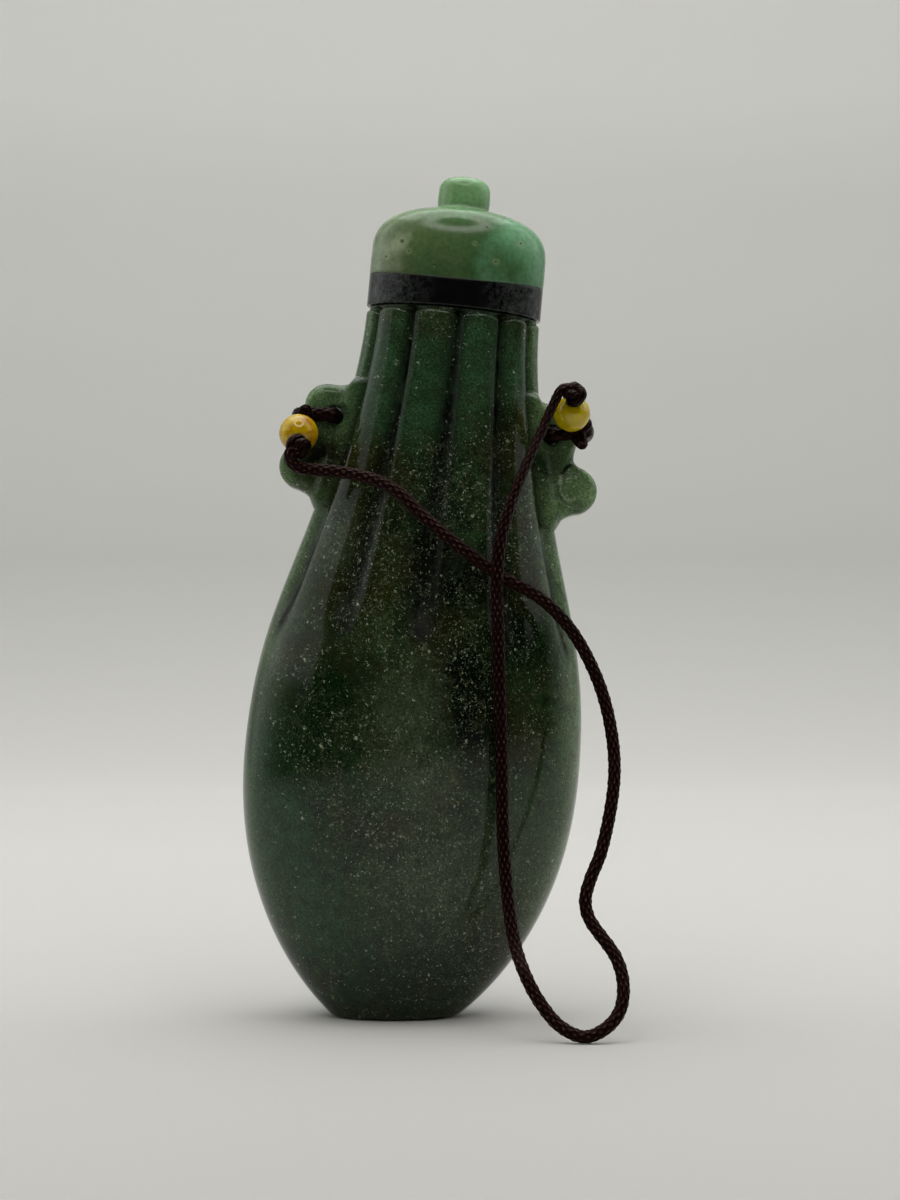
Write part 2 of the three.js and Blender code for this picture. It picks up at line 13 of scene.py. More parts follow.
import bpy
import numpy as np
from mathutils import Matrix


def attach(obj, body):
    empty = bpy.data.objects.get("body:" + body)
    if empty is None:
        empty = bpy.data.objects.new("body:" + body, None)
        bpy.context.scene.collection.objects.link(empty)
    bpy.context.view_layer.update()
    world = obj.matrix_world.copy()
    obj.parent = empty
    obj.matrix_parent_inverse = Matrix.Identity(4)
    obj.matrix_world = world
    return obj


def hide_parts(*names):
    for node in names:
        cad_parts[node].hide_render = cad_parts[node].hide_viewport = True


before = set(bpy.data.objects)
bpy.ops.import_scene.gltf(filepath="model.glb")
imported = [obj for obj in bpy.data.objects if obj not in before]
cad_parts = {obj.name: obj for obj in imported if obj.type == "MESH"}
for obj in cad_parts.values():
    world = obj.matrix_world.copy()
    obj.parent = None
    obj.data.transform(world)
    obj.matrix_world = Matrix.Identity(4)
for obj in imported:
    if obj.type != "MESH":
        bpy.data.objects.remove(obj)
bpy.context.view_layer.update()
MM = 0.001
print("solids:", sorted(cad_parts))

# %% [markdown]
# ## The camera
#
# The view is level with the bottle's middle and looks a little upwards, as a hand-held picture
# of a small thing on a table does. A long lens from 24 cm keeps the outline free of distortion.

# %% Camera
CAMERA_PLACE = (0.00576, -0.237, 0.0364)
CAMERA_PITCH_UP = 1.73
LENS = 67.5


def in_scene(name, data):
    """A new object in the scene, made of some data."""
    thing = bpy.data.objects.new(name, data)
    bpy.context.scene.collection.objects.link(thing)
    return thing


camera_data = bpy.data.cameras.new("camera")
camera_data.lens = LENS
camera_data.sensor_width = 36
camera_data.clip_start = 0.01
camera = in_scene("camera", camera_data)
camera.location = CAMERA_PLACE
camera.rotation_euler = (math.radians(90 + CAMERA_PITCH_UP), 0, 0)
bpy.context.scene.camera = camera
print("camera at", CAMERA_PLACE, "with a lens of", LENS, "mm")

# %% [markdown]
# ## Surfaces from grids
#
# Nearly every piece is a grid of points, with rows running along it and columns running round
# it. The columns always close on themselves. The rows either close too, as on a ring, or end in
# a small fan of triangles, so every mesh is a closed skin with its faces pointing outwards.


# %% One helper turns a grid of points into a closed piece
def grid_faces(rows, columns, ring):
    """Quads between neighbouring rows and columns. Point (i, j) has the number i * columns + j.
    The columns wrap round, and the rows wrap round as well where the grid is a ring."""
    last = rows if ring else rows - 1
    i, j = np.meshgrid(np.arange(last), np.arange(columns), indexing="ij")
    up, over = (i + 1) % rows, (j + 1) % columns
    corners = (i * columns + j, i * columns + over, up * columns + over, up * columns + j)
    return np.stack(corners, axis=-1).reshape(-1, 4)


def mesh_of(name, points, quads, triangles=np.empty((0, 3), dtype=int)):
    """A mesh from points in millimetres and its faces, shaded smooth."""
    mesh = bpy.data.meshes.new(name)
    mesh.vertices.add(len(points))
    mesh.vertices.foreach_set("co", (points * MM).astype(np.float32).ravel())
    loops = np.concatenate([quads.ravel(), triangles.ravel()]).astype(np.int32)
    starts = np.concatenate([
        np.arange(len(quads)) * 4, len(quads) * 4 + np.arange(len(triangles)) * 3])
    mesh.loops.add(len(loops))
    mesh.loops.foreach_set("vertex_index", loops)
    mesh.polygons.add(len(starts))
    mesh.polygons.foreach_set("loop_start", starts.astype(np.int32))
    mesh.update(calc_edges=True)
    mesh.validate()
    mesh.shade_smooth()
    return mesh


def grid_piece(name, points, ring=False):
    """An object from a grid of shape (rows, columns, 3). An open grid is closed at both ends by a
    fan round the middle of its first row and of its last row."""
    rows, columns = points.shape[:2]
    quads = grid_faces(rows, columns, ring)
    flat = points.reshape(-1, 3)
    if ring:
        return in_scene(name, mesh_of(name, flat, quads))
    flat = np.vstack([flat, points[0].mean(axis=0), points[-1].mean(axis=0)])
    j = np.arange(columns)
    over = (j + 1) % columns
    low = np.stack([np.full(columns, rows * columns), over, j], axis=-1)
    top = (rows - 1) * columns
    high = np.stack([np.full(columns, rows * columns + 1), top + j, top + over], axis=-1)
    return in_scene(name, mesh_of(name, flat, quads, np.vstack([low, high])))


def unit(vectors):
    """Each vector divided by its length."""
    return vectors / np.linalg.norm(vectors, axis=-1, keepdims=True)


def once_round(count):
    """Angles once round a circle, in equal steps."""
    return np.linspace(0, 2 * np.pi, count, endpoint=False)


def round_axis(axis, toward, angle):
    """Directions square to an axis, cos(angle) f + sin(angle) g. Here f is the unit vector square
    to both the axis and toward, and g is square to the axis and f."""
    first = unit(np.cross(axis, toward))
    return np.cos(angle)[:, None] * first + np.sin(angle)[:, None] * np.cross(axis, first)


def smooth(values, low, high):
    """0 below low, 1 above high, and 3t^2 - 2t^3 between them."""
    t = np.clip((values - low) / (high - low), 0, 1)
    return t * t * (3 - 2 * t)


def mix(low, high, share):
    """Straight mixture of two values."""
    return low + (high - low) * share


# %% [markdown]
# ## How the bottle stands
#
# The bottle's foot was ground flat at an angle to its axis, so the whole bottle leans to the
# right. It is easier to shape it upright: x across, y deep and z up along the axis, all in
# millimetres. One function then leans every point over, as the solids are.

# %% Sizes of the bottle, and the lean
LEAN = math.radians(5.3)
BODY_HEIGHT = 74.05
BELLY_HEIGHT = 26.8
BELLY_HALF_WIDTH = 17.6
BELLY_HALF_DEPTH = 10.9
NECK_HALF_WIDTH = 9.15
NECK_HALF_DEPTH = 5.95
FOOT_HALF_WIDTH = 6.35
FOOT_CURVE_UP = 2.13
FOOT_CURVE_OUT = 1.5
NECK_CURVE_DRAW = 0.012
FOOT_SHARE = (FOOT_HALF_WIDTH / BELLY_HALF_WIDTH) ** FOOT_CURVE_OUT
BELLY_DROP = BELLY_HEIGHT / (1 - FOOT_SHARE) ** (1 / FOOT_CURVE_UP)


def half_width(height):
    """Half width of the plain oval at heights. Below the belly it is belly times
    (1 - drop^2.13)^(1/1.5), and above it half a cosine wave from the belly to the neck."""
    drop = np.clip((BELLY_HEIGHT - height) / BELLY_DROP, 0, 1)
    lower = BELLY_HALF_WIDTH * (1 - drop**FOOT_CURVE_UP) ** (1 / FOOT_CURVE_OUT)
    rise = np.clip((height - BELLY_HEIGHT) / (BODY_HEIGHT - BELLY_HEIGHT), 0, 1)
    drawn = rise - NECK_CURVE_DRAW * np.sin(3 * np.pi * rise)
    upper = mix(NECK_HALF_WIDTH, BELLY_HALF_WIDTH, (1 + np.cos(np.pi * drawn)) / 2)
    return np.where(height < BELLY_HEIGHT, lower, upper)


def depth_share(height):
    """Depth of the oval as a share of its width, from the belly's share to the neck's."""
    belly = BELLY_HALF_DEPTH / BELLY_HALF_WIDTH
    neck = NECK_HALF_DEPTH / NECK_HALF_WIDTH
    return mix(belly, neck, smooth(height, BELLY_HEIGHT, BODY_HEIGHT))


def oval_point(half_out, half_deep, angle, cut, height):
    """Points (a cos t, b sin t) moved in by a cut, square to the oval."""
    across, deep = half_deep * np.cos(angle), half_out * np.sin(angle)
    length = np.hypot(across, deep)
    x = half_out * np.cos(angle) - cut * across / length
    y = half_deep * np.sin(angle) - cut * deep / length
    return np.stack(np.broadcast_arrays(x, y, height), axis=-1)


def foot_height(angle):
    """Height along the axis where the wall meets the level ground, found by repeating
    h = width(h) cos t tan(lean)."""
    height = np.zeros_like(angle)
    for _ in range(12):
        height = half_width(height) * np.cos(angle) * math.tan(LEAN)
    return height


foot_right, foot_left = (half_width(foot_height(np.array([a])))[0] for a in (0, math.pi))
AXIS_X = (foot_left - foot_right) / 2 / math.cos(LEAN)


def turn_over(points, angle):
    """Points turned about the Y axis by an angle: x cos + z sin, y, z cos - x sin."""
    x, y, z = np.moveaxis(np.asarray(points, dtype=float), -1, 0)
    out = x * math.cos(angle) + z * math.sin(angle)
    return np.stack([out, y, z * math.cos(angle) - x * math.sin(angle)], axis=-1)


def lean_over(points):
    """Points of the upright bottle, leaned over and moved to the foot's centre."""
    return turn_over(points, LEAN) + (AXIS_X, 0, 0)


def stand_up(points):
    """The opposite of lean_over, to find a finished point's place on the upright bottle."""
    return turn_over(points - np.array([AXIS_X, 0, 0]), -LEAN)


print("the axis meets the ground at x =", round(AXIS_X, 3), "mm")

# %% [markdown]
# ## The cord
#
# The cord is a round braid of silk, a little over a millimetre thick. It leaves the knot under
# the left bead, crosses the shoulder, hangs in one long loop that just reaches the ground, and
# comes up again to the knot over the right bead.
# Its middle line is one smooth curve through listed points. The braid is real relief on
# the tube: two sets of strands wind round it in opposite ways, and where they cross, one rises
# over the other in turn.

# %% The cord's middle line
CORD_WIDE = 1.34
CORD_THIN = 1.06
CORD_ROUTE = np.array([
    [-9.5, -7.6, 58.9], [-10.5, -7.9, 58.4], [-10.5, -7.5, 57.6], [-9.9, -7.1, 57.0],
    [-8.7, -6.6, 56.8], [-5.5, -6.7, 56.5], [-1.9, -7.8, 55.6], [0.5, -8.7, 54.3],
    [2.8, -9.3, 52.0], [6.2, -9.7, 49.1], [10.4, -9.3, 46.0], [14.9, -8.4, 43.5],
    [18.1, -7.5, 40.3], [20.8, -7.5, 35.2], [22.1, -8.5, 30.1], [22.3, -9.8, 25.1],
    [20.9, -11.6, 18.2], [19.7, -12.4, 15.3], [19.2, -12.9, 13.4], [19.5, -13.4, 11.7],
    [22.1, -15.0, 7.9], [22.7, -16.0, 5.5], [22.3, -17.0, 3.1], [20.9, -17.7, 1.5],
    [18.8, -18.0, 0.7], [16.5, -17.5, 1.6], [14.6, -16.6, 3.7], [13.2, -15.6, 6.2],
    [12.1, -13.5, 9.5], [11.2, -11.3, 17.2], [10.9, -10.4, 29.0], [10.6, -10.2, 40.0],
    [10.5, -10.8, 45.7], [11.0, -10.4, 49.9], [12.9, -9.2, 55.6], [15.3, -7.7, 61.0],
    [16.6, -7.3, 63.9], [17.1, -7.3, 64.8], [17.7, -7.2, 65.1], [18.3, -7.1, 64.9],
])


def lengths_along(line):
    """Distance along a line of points, from its start to each of them."""
    return np.concatenate([[0], np.cumsum(np.linalg.norm(np.diff(line, axis=0), axis=1))])


def curve_through(points, spacing, closed=False):
    """A smooth curve through points, as points spaced evenly along it. Each stretch is a cubic
    whose slopes at its ends are those of the circle-like curve through the neighbours, with
    knots spaced by the square root of the distance (a centripetal Catmull-Rom curve)."""
    if closed:
        known = np.vstack([points[-1:], points, points[:2]])
    else:
        known = np.vstack([2 * points[0] - points[1], points, 2 * points[-1] - points[-2]])
    p0, p1, p2, p3 = known[:-3], known[1:-2], known[2:-1], known[3:]
    d0, d1, d2 = (np.linalg.norm(b - a, axis=1) ** 0.5 for a, b in ((p0, p1), (p1, p2), (p2, p3)))
    d0, d1, d2 = d0[:, None], d1[:, None], d2[:, None]
    slope1 = ((p1 - p0) / d0 - (p2 - p0) / (d0 + d1) + (p2 - p1) / d1) * d1
    slope2 = ((p2 - p1) / d1 - (p3 - p1) / (d1 + d2) + (p3 - p2) / d2) * d1
    t = (np.arange(24) / 24)[:, None, None]
    dense = (
        (2 * t**3 - 3 * t**2 + 1) * p1 + (t**3 - 2 * t**2 + t) * slope1
        + (3 * t**2 - 2 * t**3) * p2 + (t**3 - t**2) * slope2
    )
    dense = np.swapaxes(dense, 0, 1).reshape(-1, 3)
    dense = np.vstack([dense, dense[:1] if closed else points[-1:]])
    along = lengths_along(dense)
    steps = max(int(round(along[-1] / spacing)), 8)
    places = np.linspace(0, along[-1], steps + 1)
    places = places[:-1] if closed else places
    return np.stack([np.interp(places, along, dense[:, k]) for k in range(3)], axis=-1)


cord_line = curve_through(CORD_ROUTE, 0.1)
CORD_LENGTH = np.linalg.norm(np.diff(cord_line, axis=0), axis=1).sum()
print("the cord is", round(CORD_LENGTH, 1), "mm long")

# %% The braid
STRANDS_EACH_WAY = 8
STITCH_LENGTH = 0.62
STRAND_RELIEF = 0.11
CROSSING_LIFT = 0.6
END_ROUNDING = 0.5
COLUMNS_ROUND_CORD = 48


def braid_relief(turn, along):
    """Height of the braid's surface, from 0 in the gaps to 1 on the strands that lie on top.
    a and b count the strands of both sets. Each strand is round, sqrt(1 - t^2) high, and
    sin(pi a) sin(pi b) lifts one set and lowers the other in turn, as a plain braid does."""
    stitches = along / STITCH_LENGTH / 2
    a = STRANDS_EACH_WAY * turn - stitches
    b = STRANDS_EACH_WAY * turn + stitches
    over = np.sin(np.pi * a) * np.sin(np.pi * b)
    one, other = (np.sqrt(1 - (2 * (c % 1) - 1) ** 2 * 0.96) for c in (a, b))
    lift = CROSSING_LIFT * over
    return np.maximum(one + lift, other - lift) / (1 + CROSSING_LIFT)


def keep(piece, name, values):
    """Keeps a number at each point of a piece's mesh, for its material."""
    piece.data.attributes.new(name, "FLOAT", "POINT").data.foreach_set("value", values)


def braided_tube(
        name, line, flat_way, wide=CORD_WIDE, thin=CORD_THIN, closed=False, painted_shade_factor=1.0):
    """A braided cord along a line of points, in millimetres. Round each point the section is an
    oval, thin / 2 along flat_way and wide / 2 square to it, plus the braid's relief. These three
    are the same all along, or one for each point. An open end is rounded off by sqrt(t (2 - t)),
    t being the distance to it over the rounding. A painted shade factor below 1 darkens the colour
    of tight silk, as painted shade."""
    wide, thin = (np.broadcast_to(size, len(line))[:, None] for size in (wide, thin))
    step = np.roll(line, -1, axis=0) - np.roll(line, 1, axis=0)
    if not closed:
        step[0], step[-1] = line[1] - line[0], line[-1] - line[-2]
    ahead = unit(step)
    side = unit(np.cross(ahead, np.broadcast_to(flat_way, ahead.shape)))
    face = np.cross(side, ahead)
    turn = np.arange(COLUMNS_ROUND_CORD) / COLUMNS_ROUND_CORD
    along = lengths_along(line)
    if closed:
        whole = along[-1] + np.linalg.norm(line[0] - line[-1])
        along = along / whole * max(round(whole / STITCH_LENGTH / 2), 1) * STITCH_LENGTH * 2
    relief = braid_relief(turn[None, :], along[:, None])
    shrink = np.ones(len(line))
    if not closed:
        t = np.clip(np.minimum(along, along[-1] - along) / END_ROUNDING, 0.04, 1)
        shrink = np.sqrt(t * (2 - t))
    lift = (relief - 1) * STRAND_RELIEF * (1 + CROSSING_LIFT) * np.minimum(wide / CORD_WIDE, 1)
    angle = 2 * np.pi * turn
    out = np.cos(angle)[None, :] * (wide / 2 + lift) * shrink[:, None]
    deep = np.sin(angle)[None, :] * (thin / 2 + lift) * shrink[:, None]
    points = line[:, None] + out[..., None] * side[:, None] + deep[..., None] * face[:, None]
    piece = grid_piece(name, points, ring=closed)
    heights = relief.ravel() if closed else np.append(relief.ravel(), [0.5, 0.5])
    keep(piece, "strand", heights * painted_shade_factor)
    return piece


TO_THE_BACK = np.array([0.0, 1.0, 0.0])
UPWARDS = np.array([0.0, 0.0, 1.0])
from_start = np.linspace(0, CORD_LENGTH, len(cord_line))
edge_on = smooth(from_start, CORD_LENGTH - 22, CORD_LENGTH - 8)[:, None] * np.pi / 2
cord_side = unit(np.cross(unit(np.gradient(cord_line, axis=0)), TO_THE_BACK))
cord_flat = np.cos(edge_on) * TO_THE_BACK + np.sin(edge_on) * cord_side
cord = braided_tube("cord_braid", cord_line, cord_flat)
print("the cord has", len(cord.data.polygons), "faces")

# %% [markdown]
# ## Beads, knots and hitches
#
# At each handle a short doubled cord goes through the hole and round the handle's edge. Its
# ends pass through an amber bead, and a knot on the far side keeps the bead on.
# The bead is a turned ball with a drilled hole, so one closed profile, up the outside and back
# down through the hole, is carried round the hole's axis. The knot is a trefoil, the simplest
# closed knot, pulled tight. A loop round a straight line gives its curve: with u once round,
# the radius is 2 + cos 3u at the angle 2u, and the height is sin 3u.

# %% Where the ends of the cord are
HANDLE_THICKNESS = 4.4
HANDLE_DROP = 8.65
HORN_REACH = 5.5
HORN_RADIUS = 2.3
SCROLL_REACH = 7.6
SCROLL_RADIUS = 2.5
SCROLL_DROP = 6.6
HOLE_RADIUS = 0.95
HOLE_IN_FROM_EDGE = 3.2
HOLE_BELOW_HORN = 1.05
NOTCH_DEPTH = 0.6
NOTCH_ABOVE_SCROLL = 3.1
HANDLE_TAIL = 0.88
HANDLE_FILLET = 1.15
HANDLE_TOP = BODY_HEIGHT - HANDLE_DROP
HORN_OUT = NECK_HALF_WIDTH + HORN_REACH
SCROLL_OUT = NECK_HALF_WIDTH + SCROLL_REACH
HORN_CENTRE = np.array([HORN_OUT - HORN_RADIUS, HANDLE_TOP - HORN_RADIUS])
SCROLL_CENTRE = np.array([SCROLL_OUT - SCROLL_RADIUS, HORN_CENTRE[1] - SCROLL_DROP])
HOLE_CENTRE = np.array([HORN_OUT - HOLE_IN_FROM_EDGE, HORN_CENTRE[1] - HOLE_BELOW_HORN])
HANDLE_BOTTOM = SCROLL_CENTRE[1] - SCROLL_RADIUS - HANDLE_TAIL

BEAD_HOLE_RADIUS = 0.8
BEAD_MOUTH_DEPTH = 0.12
BEAD_MOUTH_FLARE = 0.1
BEAD_OFF_HANDLE = 0.7
KNOT_OFF_BEAD = 0.9
HITCH_OFF_FACE = 0.62

ENDS = {
    "left": {"side": -1, "radius": 2.02, "across": -3.5, "up": -2.2, "hitch_rise": 0.0,
             "stem": unit(np.array([0.05, -0.835, -0.55]))},
    "right": {"side": 1, "radius": 1.9, "across": 1.95, "up": 2.0, "hitch_rise": 0.11,
              "stem": unit(np.array([0.06, -0.785, 0.615]))},
}
for end in ENDS.values():
    end["hole"] = lean_over([end["side"] * HOLE_CENTRE[0], 0, HOLE_CENTRE[1]])
    forward = HANDLE_THICKNESS / 2 + BEAD_OFF_HANDLE + end["radius"]
    end["bead"] = end["hole"] + np.array([end["across"], -forward, end["up"]])
    end["knot"] = end["bead"] + end["stem"] * (end["radius"] + KNOT_OFF_BEAD)
    end["edge"] = lean_over([end["side"] * HORN_OUT, 0, HOLE_CENTRE[1]])
print("bead centres:", {name: end["bead"].round(2).tolist() for name, end in ENDS.items()})


# %% Beads
def bead(name, end):
    """A ball of radius r round the stem's axis. Up the outside the profile is (r cos t, r sin t)
    between the hole's two mouths, and it comes back down the hole's wall."""
    radius = end["radius"]
    reach = math.acos(BEAD_HOLE_RADIUS / radius)
    t = np.linspace(-reach, reach, 40)
    mouth = radius * math.sin(reach) - BEAD_MOUTH_DEPTH
    wall = np.linspace(mouth, -mouth, 8)
    bore = np.full(8, BEAD_HOLE_RADIUS - BEAD_MOUTH_FLARE)
    profile_out = np.concatenate([radius * np.cos(t), bore])
    profile_up = np.concatenate([radius * np.sin(t), wall])
    stem = end["stem"]
    round_way = round_axis(stem, TO_THE_BACK + 0.3 * UPWARDS, once_round(72))
    points = end["bead"] + profile_out[:, None, None] * round_way + (
        profile_up[:, None, None] * stem)
    return grid_piece(name, points, ring=True)


beads = {name: bead(f"amber_bead_{name}", end) for name, end in ENDS.items()}
print("beads:", [len(piece.data.polygons) for piece in beads.values()], "faces")


# %% Knots
KNOT_HALF_WIDTH = 1.45
KNOT_HALF_HEIGHT = 1.0
KNOT_CORD_WIDE = 1.1
KNOT_CORD_THIN = 1.0


def knot(name, centre, axis):
    """A trefoil pulled tight into a lump. The braid's flat side keeps facing away from the ring
    that the trefoil winds round."""
    u = once_round(110)
    ring = round_axis(axis, TO_THE_BACK + 0.4 * UPWARDS, 2 * u)
    scale = (KNOT_HALF_WIDTH - KNOT_CORD_WIDE / 2) / 3
    radial = (2 + np.cos(3 * u)) * scale
    lift = np.sin(3 * u) * (KNOT_HALF_HEIGHT - KNOT_CORD_THIN / 2)
    line = centre + radial[:, None] * ring + lift[:, None] * axis
    outwards = np.cos(3 * u)[:, None] * ring + np.sin(3 * u)[:, None] * axis
    # The tight knot is drawn darker, as painted shade.
    return braided_tube(
        name, line, outwards, KNOT_CORD_WIDE, KNOT_CORD_THIN, closed=True, painted_shade_factor=0.88)


knots = {
    name: knot(f"cord_knot_{name}", end["knot"], end["stem"]) for name, end in ENDS.items()
}


# %% Hitches through the handles
HITCH_WIDE = 1.62
HITCH_THIN = 1.0
HITCH_THICK_IN_HOLE = 1.6
STEM_WIDE = 1.15
STEM_THIN = 1.1


def hitch(name, end):
    """A flat loop, out of the hole, round the handle's edge and back in. Its line is a rectangle
    with round corners, seen from above, and rises a little towards the edge."""
    side, hole = end["side"], end["hole"]
    face = HANDLE_THICKNESS / 2 + HITCH_OFF_FACE
    inner = hole[0] - 0.05 * side
    outer = end["edge"][0] + 0.75 * side
    front = [
        (inner, -face + 0.7), (inner + 0.25 * side, -face + 0.15), (inner + 0.9 * side, -face),
        (outer - 0.9 * side, -face), (outer - 0.25 * side, -face + 0.2), (outer, -face + 0.9),
    ]
    corners = front + [(x, -y) for x, y in reversed(front)]
    points = np.array([
        [x, y, hole[2] + end["hitch_rise"] * abs(x - hole[0])] for x, y in corners])
    line = curve_through(points, 0.12, closed=True)
    step = unit(np.roll(line, -1, axis=0) - np.roll(line, 1, axis=0))
    outwards = unit(np.cross(step, np.broadcast_to(UPWARDS, step.shape)))
    in_hole = smooth(np.abs(line[:, 0] - hole[0]), 0.9, 0.3)
    thin = mix(HITCH_THIN, HITCH_THICK_IN_HOLE, in_hole)
    # The tight hitch is drawn darker, as painted shade.
    return braided_tube(name, line, outwards, HITCH_WIDE, thin, closed=True, painted_shade_factor=0.85)


def stem(name, end):
    """The straight piece of cord from the knot, through the bead, to the hitch's front."""
    back = end["bead"] - end["stem"] * (end["radius"] + 0.25)
    front = end["bead"] + end["stem"] * (end["radius"] + 0.6)
    hitch_front = np.array([
        end["edge"][0] + 0.1 * end["side"],
        -HANDLE_THICKNESS / 2 - 0.75,
        end["hole"][2] + end["hitch_rise"] * 3,
    ])
    line = curve_through(np.array([front, mix(front, back, 0.5), back, hitch_front]), 0.12)
    return braided_tube(name, line, np.array([1.0, 0.0, 0.0]), STEM_WIDE, STEM_THIN)


hitches = {name: hitch(f"cord_hitch_{name}", end) for name, end in ENDS.items()}
stems = {name: stem(f"cord_stem_{name}", end) for name, end in ENDS.items()}

# %% Loops of the hitches that show beside the beads
LOOPS = {
    "left": (0.8, [[-9.0, -3.1, 62.0], [-8.9, -3.8, 62.8], [-9.1, -4.1, 63.4], [-9.6, -4.1, 63.2],
                   [-9.8, -4.0, 62.5], [-9.7, -3.8, 61.8]]),
    "thread": (0.36, [[-9.6, -4.1, 61.9], [-10.3, -4.3, 62.15], [-11.0, -4.4, 61.9],
                      [-11.5, -4.5, 61.4], [-11.7, -4.5, 60.8], [-11.4, -4.3, 60.1]]),
    "right": (0.78, [[18.6, -3.3, 60.4], [19.1, -3.8, 59.7], [19.5, -3.9, 59.4],
                     [19.75, -3.5, 59.9], [19.5, -3.3, 60.6], [19.7, -3.8, 61.1],
                     [20.15, -3.9, 61.6], [20.0, -3.4, 62.1], [19.3, -3.2, 62.2]]),
}
loops = {
    name: braided_tube(
        f"cord_loop_{name}", curve_through(np.array(points), 0.1), TO_THE_BACK, width, width)
    for name, (width, points) in LOOPS.items()
}
print("knots, hitches, stems and loops:", len(knots) + len(hitches) + len(stems) + len(loops))

# %% The cord goes on record
for name in ENDS:
    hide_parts(f"bead_{name}")
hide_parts("cord")
silk_pieces = [
    cord, *knots.values(), *hitches.values(), *stems.values(), *loops.values()]
on_cord = [*beads.values(), *silk_pieces[1:]]
for piece in [cord, *on_cord]:
    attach(piece, "root")

# %% [markdown]
# ## The stone bottle
#
# A lapidary grinds the outside first, then sinks the channels with a small wheel, which leaves
# each one a round trough with crisp shoulders and a rounded end. So the surface is the plain
# oval minus a cut. The cut is a parabola across each channel, and its half width shrinks to
# nothing along a quarter circle at the channel's foot.
# The columns of the grid follow the channels' shoulders, so the crisp edges stay crisp without
# a heavy mesh. The inside is ground out through the mouth, and is one grid with the outside.

# %% The channels
FRONT_CHANNELS_AT_LIP = np.array([206.0, 241.0, 274.0, 306.0, 335.0])
FRONT_CHANNELS_AT_FOOT = np.array([203.0, 239.0, 269.0, 301.0, 338.0])
LOBE_SWELL = 0.5
CHANNEL_DEPTH_TOP = 0.25
CHANNEL_DEPTH_LOW = 0.8
CHANNEL_HALF_WIDTH_TOP = 0.7
CHANNEL_HALF_WIDTH_LOW = 1.9
CHANNEL_FOOT_HEIGHT = 38.2
CHANNEL_END_LENGTH = 3.6
CHANNELS_AT_LIP, CHANNELS_AT_FOOT = (
    np.radians(np.concatenate([360 - front[::-1], front]))
    for front in (FRONT_CHANNELS_AT_LIP, FRONT_CHANNELS_AT_FOOT)
)


def up_channels(height):
    """How far up its channels a height is, from 0 at their feet to 1 at the lip."""
    return smooth(height, CHANNEL_FOOT_HEIGHT, BODY_HEIGHT)


def channel_angles(height):
    """Places round the oval of all channels, and of the first one again a turn later.
    The result has one row for each height."""
    share = up_channels(height)[:, None]
    here = mix(CHANNELS_AT_FOOT[None, :], CHANNELS_AT_LIP[None, :], share)
    return np.concatenate([here, here[:, :1] + 2 * np.pi], axis=1)


def channel_half_width(height):
    """Half width of a channel, which ends in a quarter circle at its foot."""
    into_nose = np.clip((height - CHANNEL_FOOT_HEIGHT) / CHANNEL_END_LENGTH, 0, 1)
    nose = np.sqrt(1 - (1 - into_nose) ** 2)
    straight = mix(CHANNEL_HALF_WIDTH_LOW, CHANNEL_HALF_WIDTH_TOP, up_channels(height))
    return straight * nose


# %% The outer wall
COLUMNS_IN_LOBE = 26
SHOULDER_COLUMN = 0.23
LIP_RING = 0.38
PETAL_ROLL = 0.4
PETAL_CUT = 0.3
PETAL_ARCH_HEIGHT = 0.75
PETAL_ARCH_SPREAD = 1.85
LIP_RING_CUT = 0.3
LIP_RING_STEP = 0.14
LIP_ROUNDING = 0.15
SHOULDER_SOFTNESS = 1.8
NOSE_FADE_LENGTH = 6.0
FOOT_ROUNDING = 0.45


def lobe_columns(height):
    """Places of the columns at each height: the angle round the oval, the distance from the
    nearest channel in millimetres, and how far from the lobe's middle they are, 0 to 0.5."""
    edges = channel_angles(height)
    width = half_width(height)[:, None]
    depth = width * depth_share(height)[:, None]
    corner = np.stack([width * np.cos(edges), depth * np.sin(edges)], axis=-1)
    lobe_width = np.linalg.norm(np.diff(corner, axis=1), axis=-1)[..., None]
    half_channel = channel_half_width(height)
    shoulder = np.clip(half_channel[:, None, None] / lobe_width, 0.07, 0.4)
    t = (np.arange(COLUMNS_IN_LOBE) / COLUMNS_IN_LOBE)[None, None, :]
    low, high = SHOULDER_COLUMN, 1 - SHOULDER_COLUMN
    share = np.where(
        t < low, t / low * shoulder,
        np.where(t > high, 1 - (1 - t) / low * shoulder,
                 mix(shoulder, 1 - shoulder, (t - low) / (high - low))))
    angle = mix(edges[:, :-1, None], edges[:, 1:, None], share)
    from_lobe = np.abs(share - 0.5)
    from_channel = (0.5 - from_lobe) * lobe_width
    rows = len(height)
    return (part.reshape(rows, -1) for part in (angle, from_channel, from_lobe))


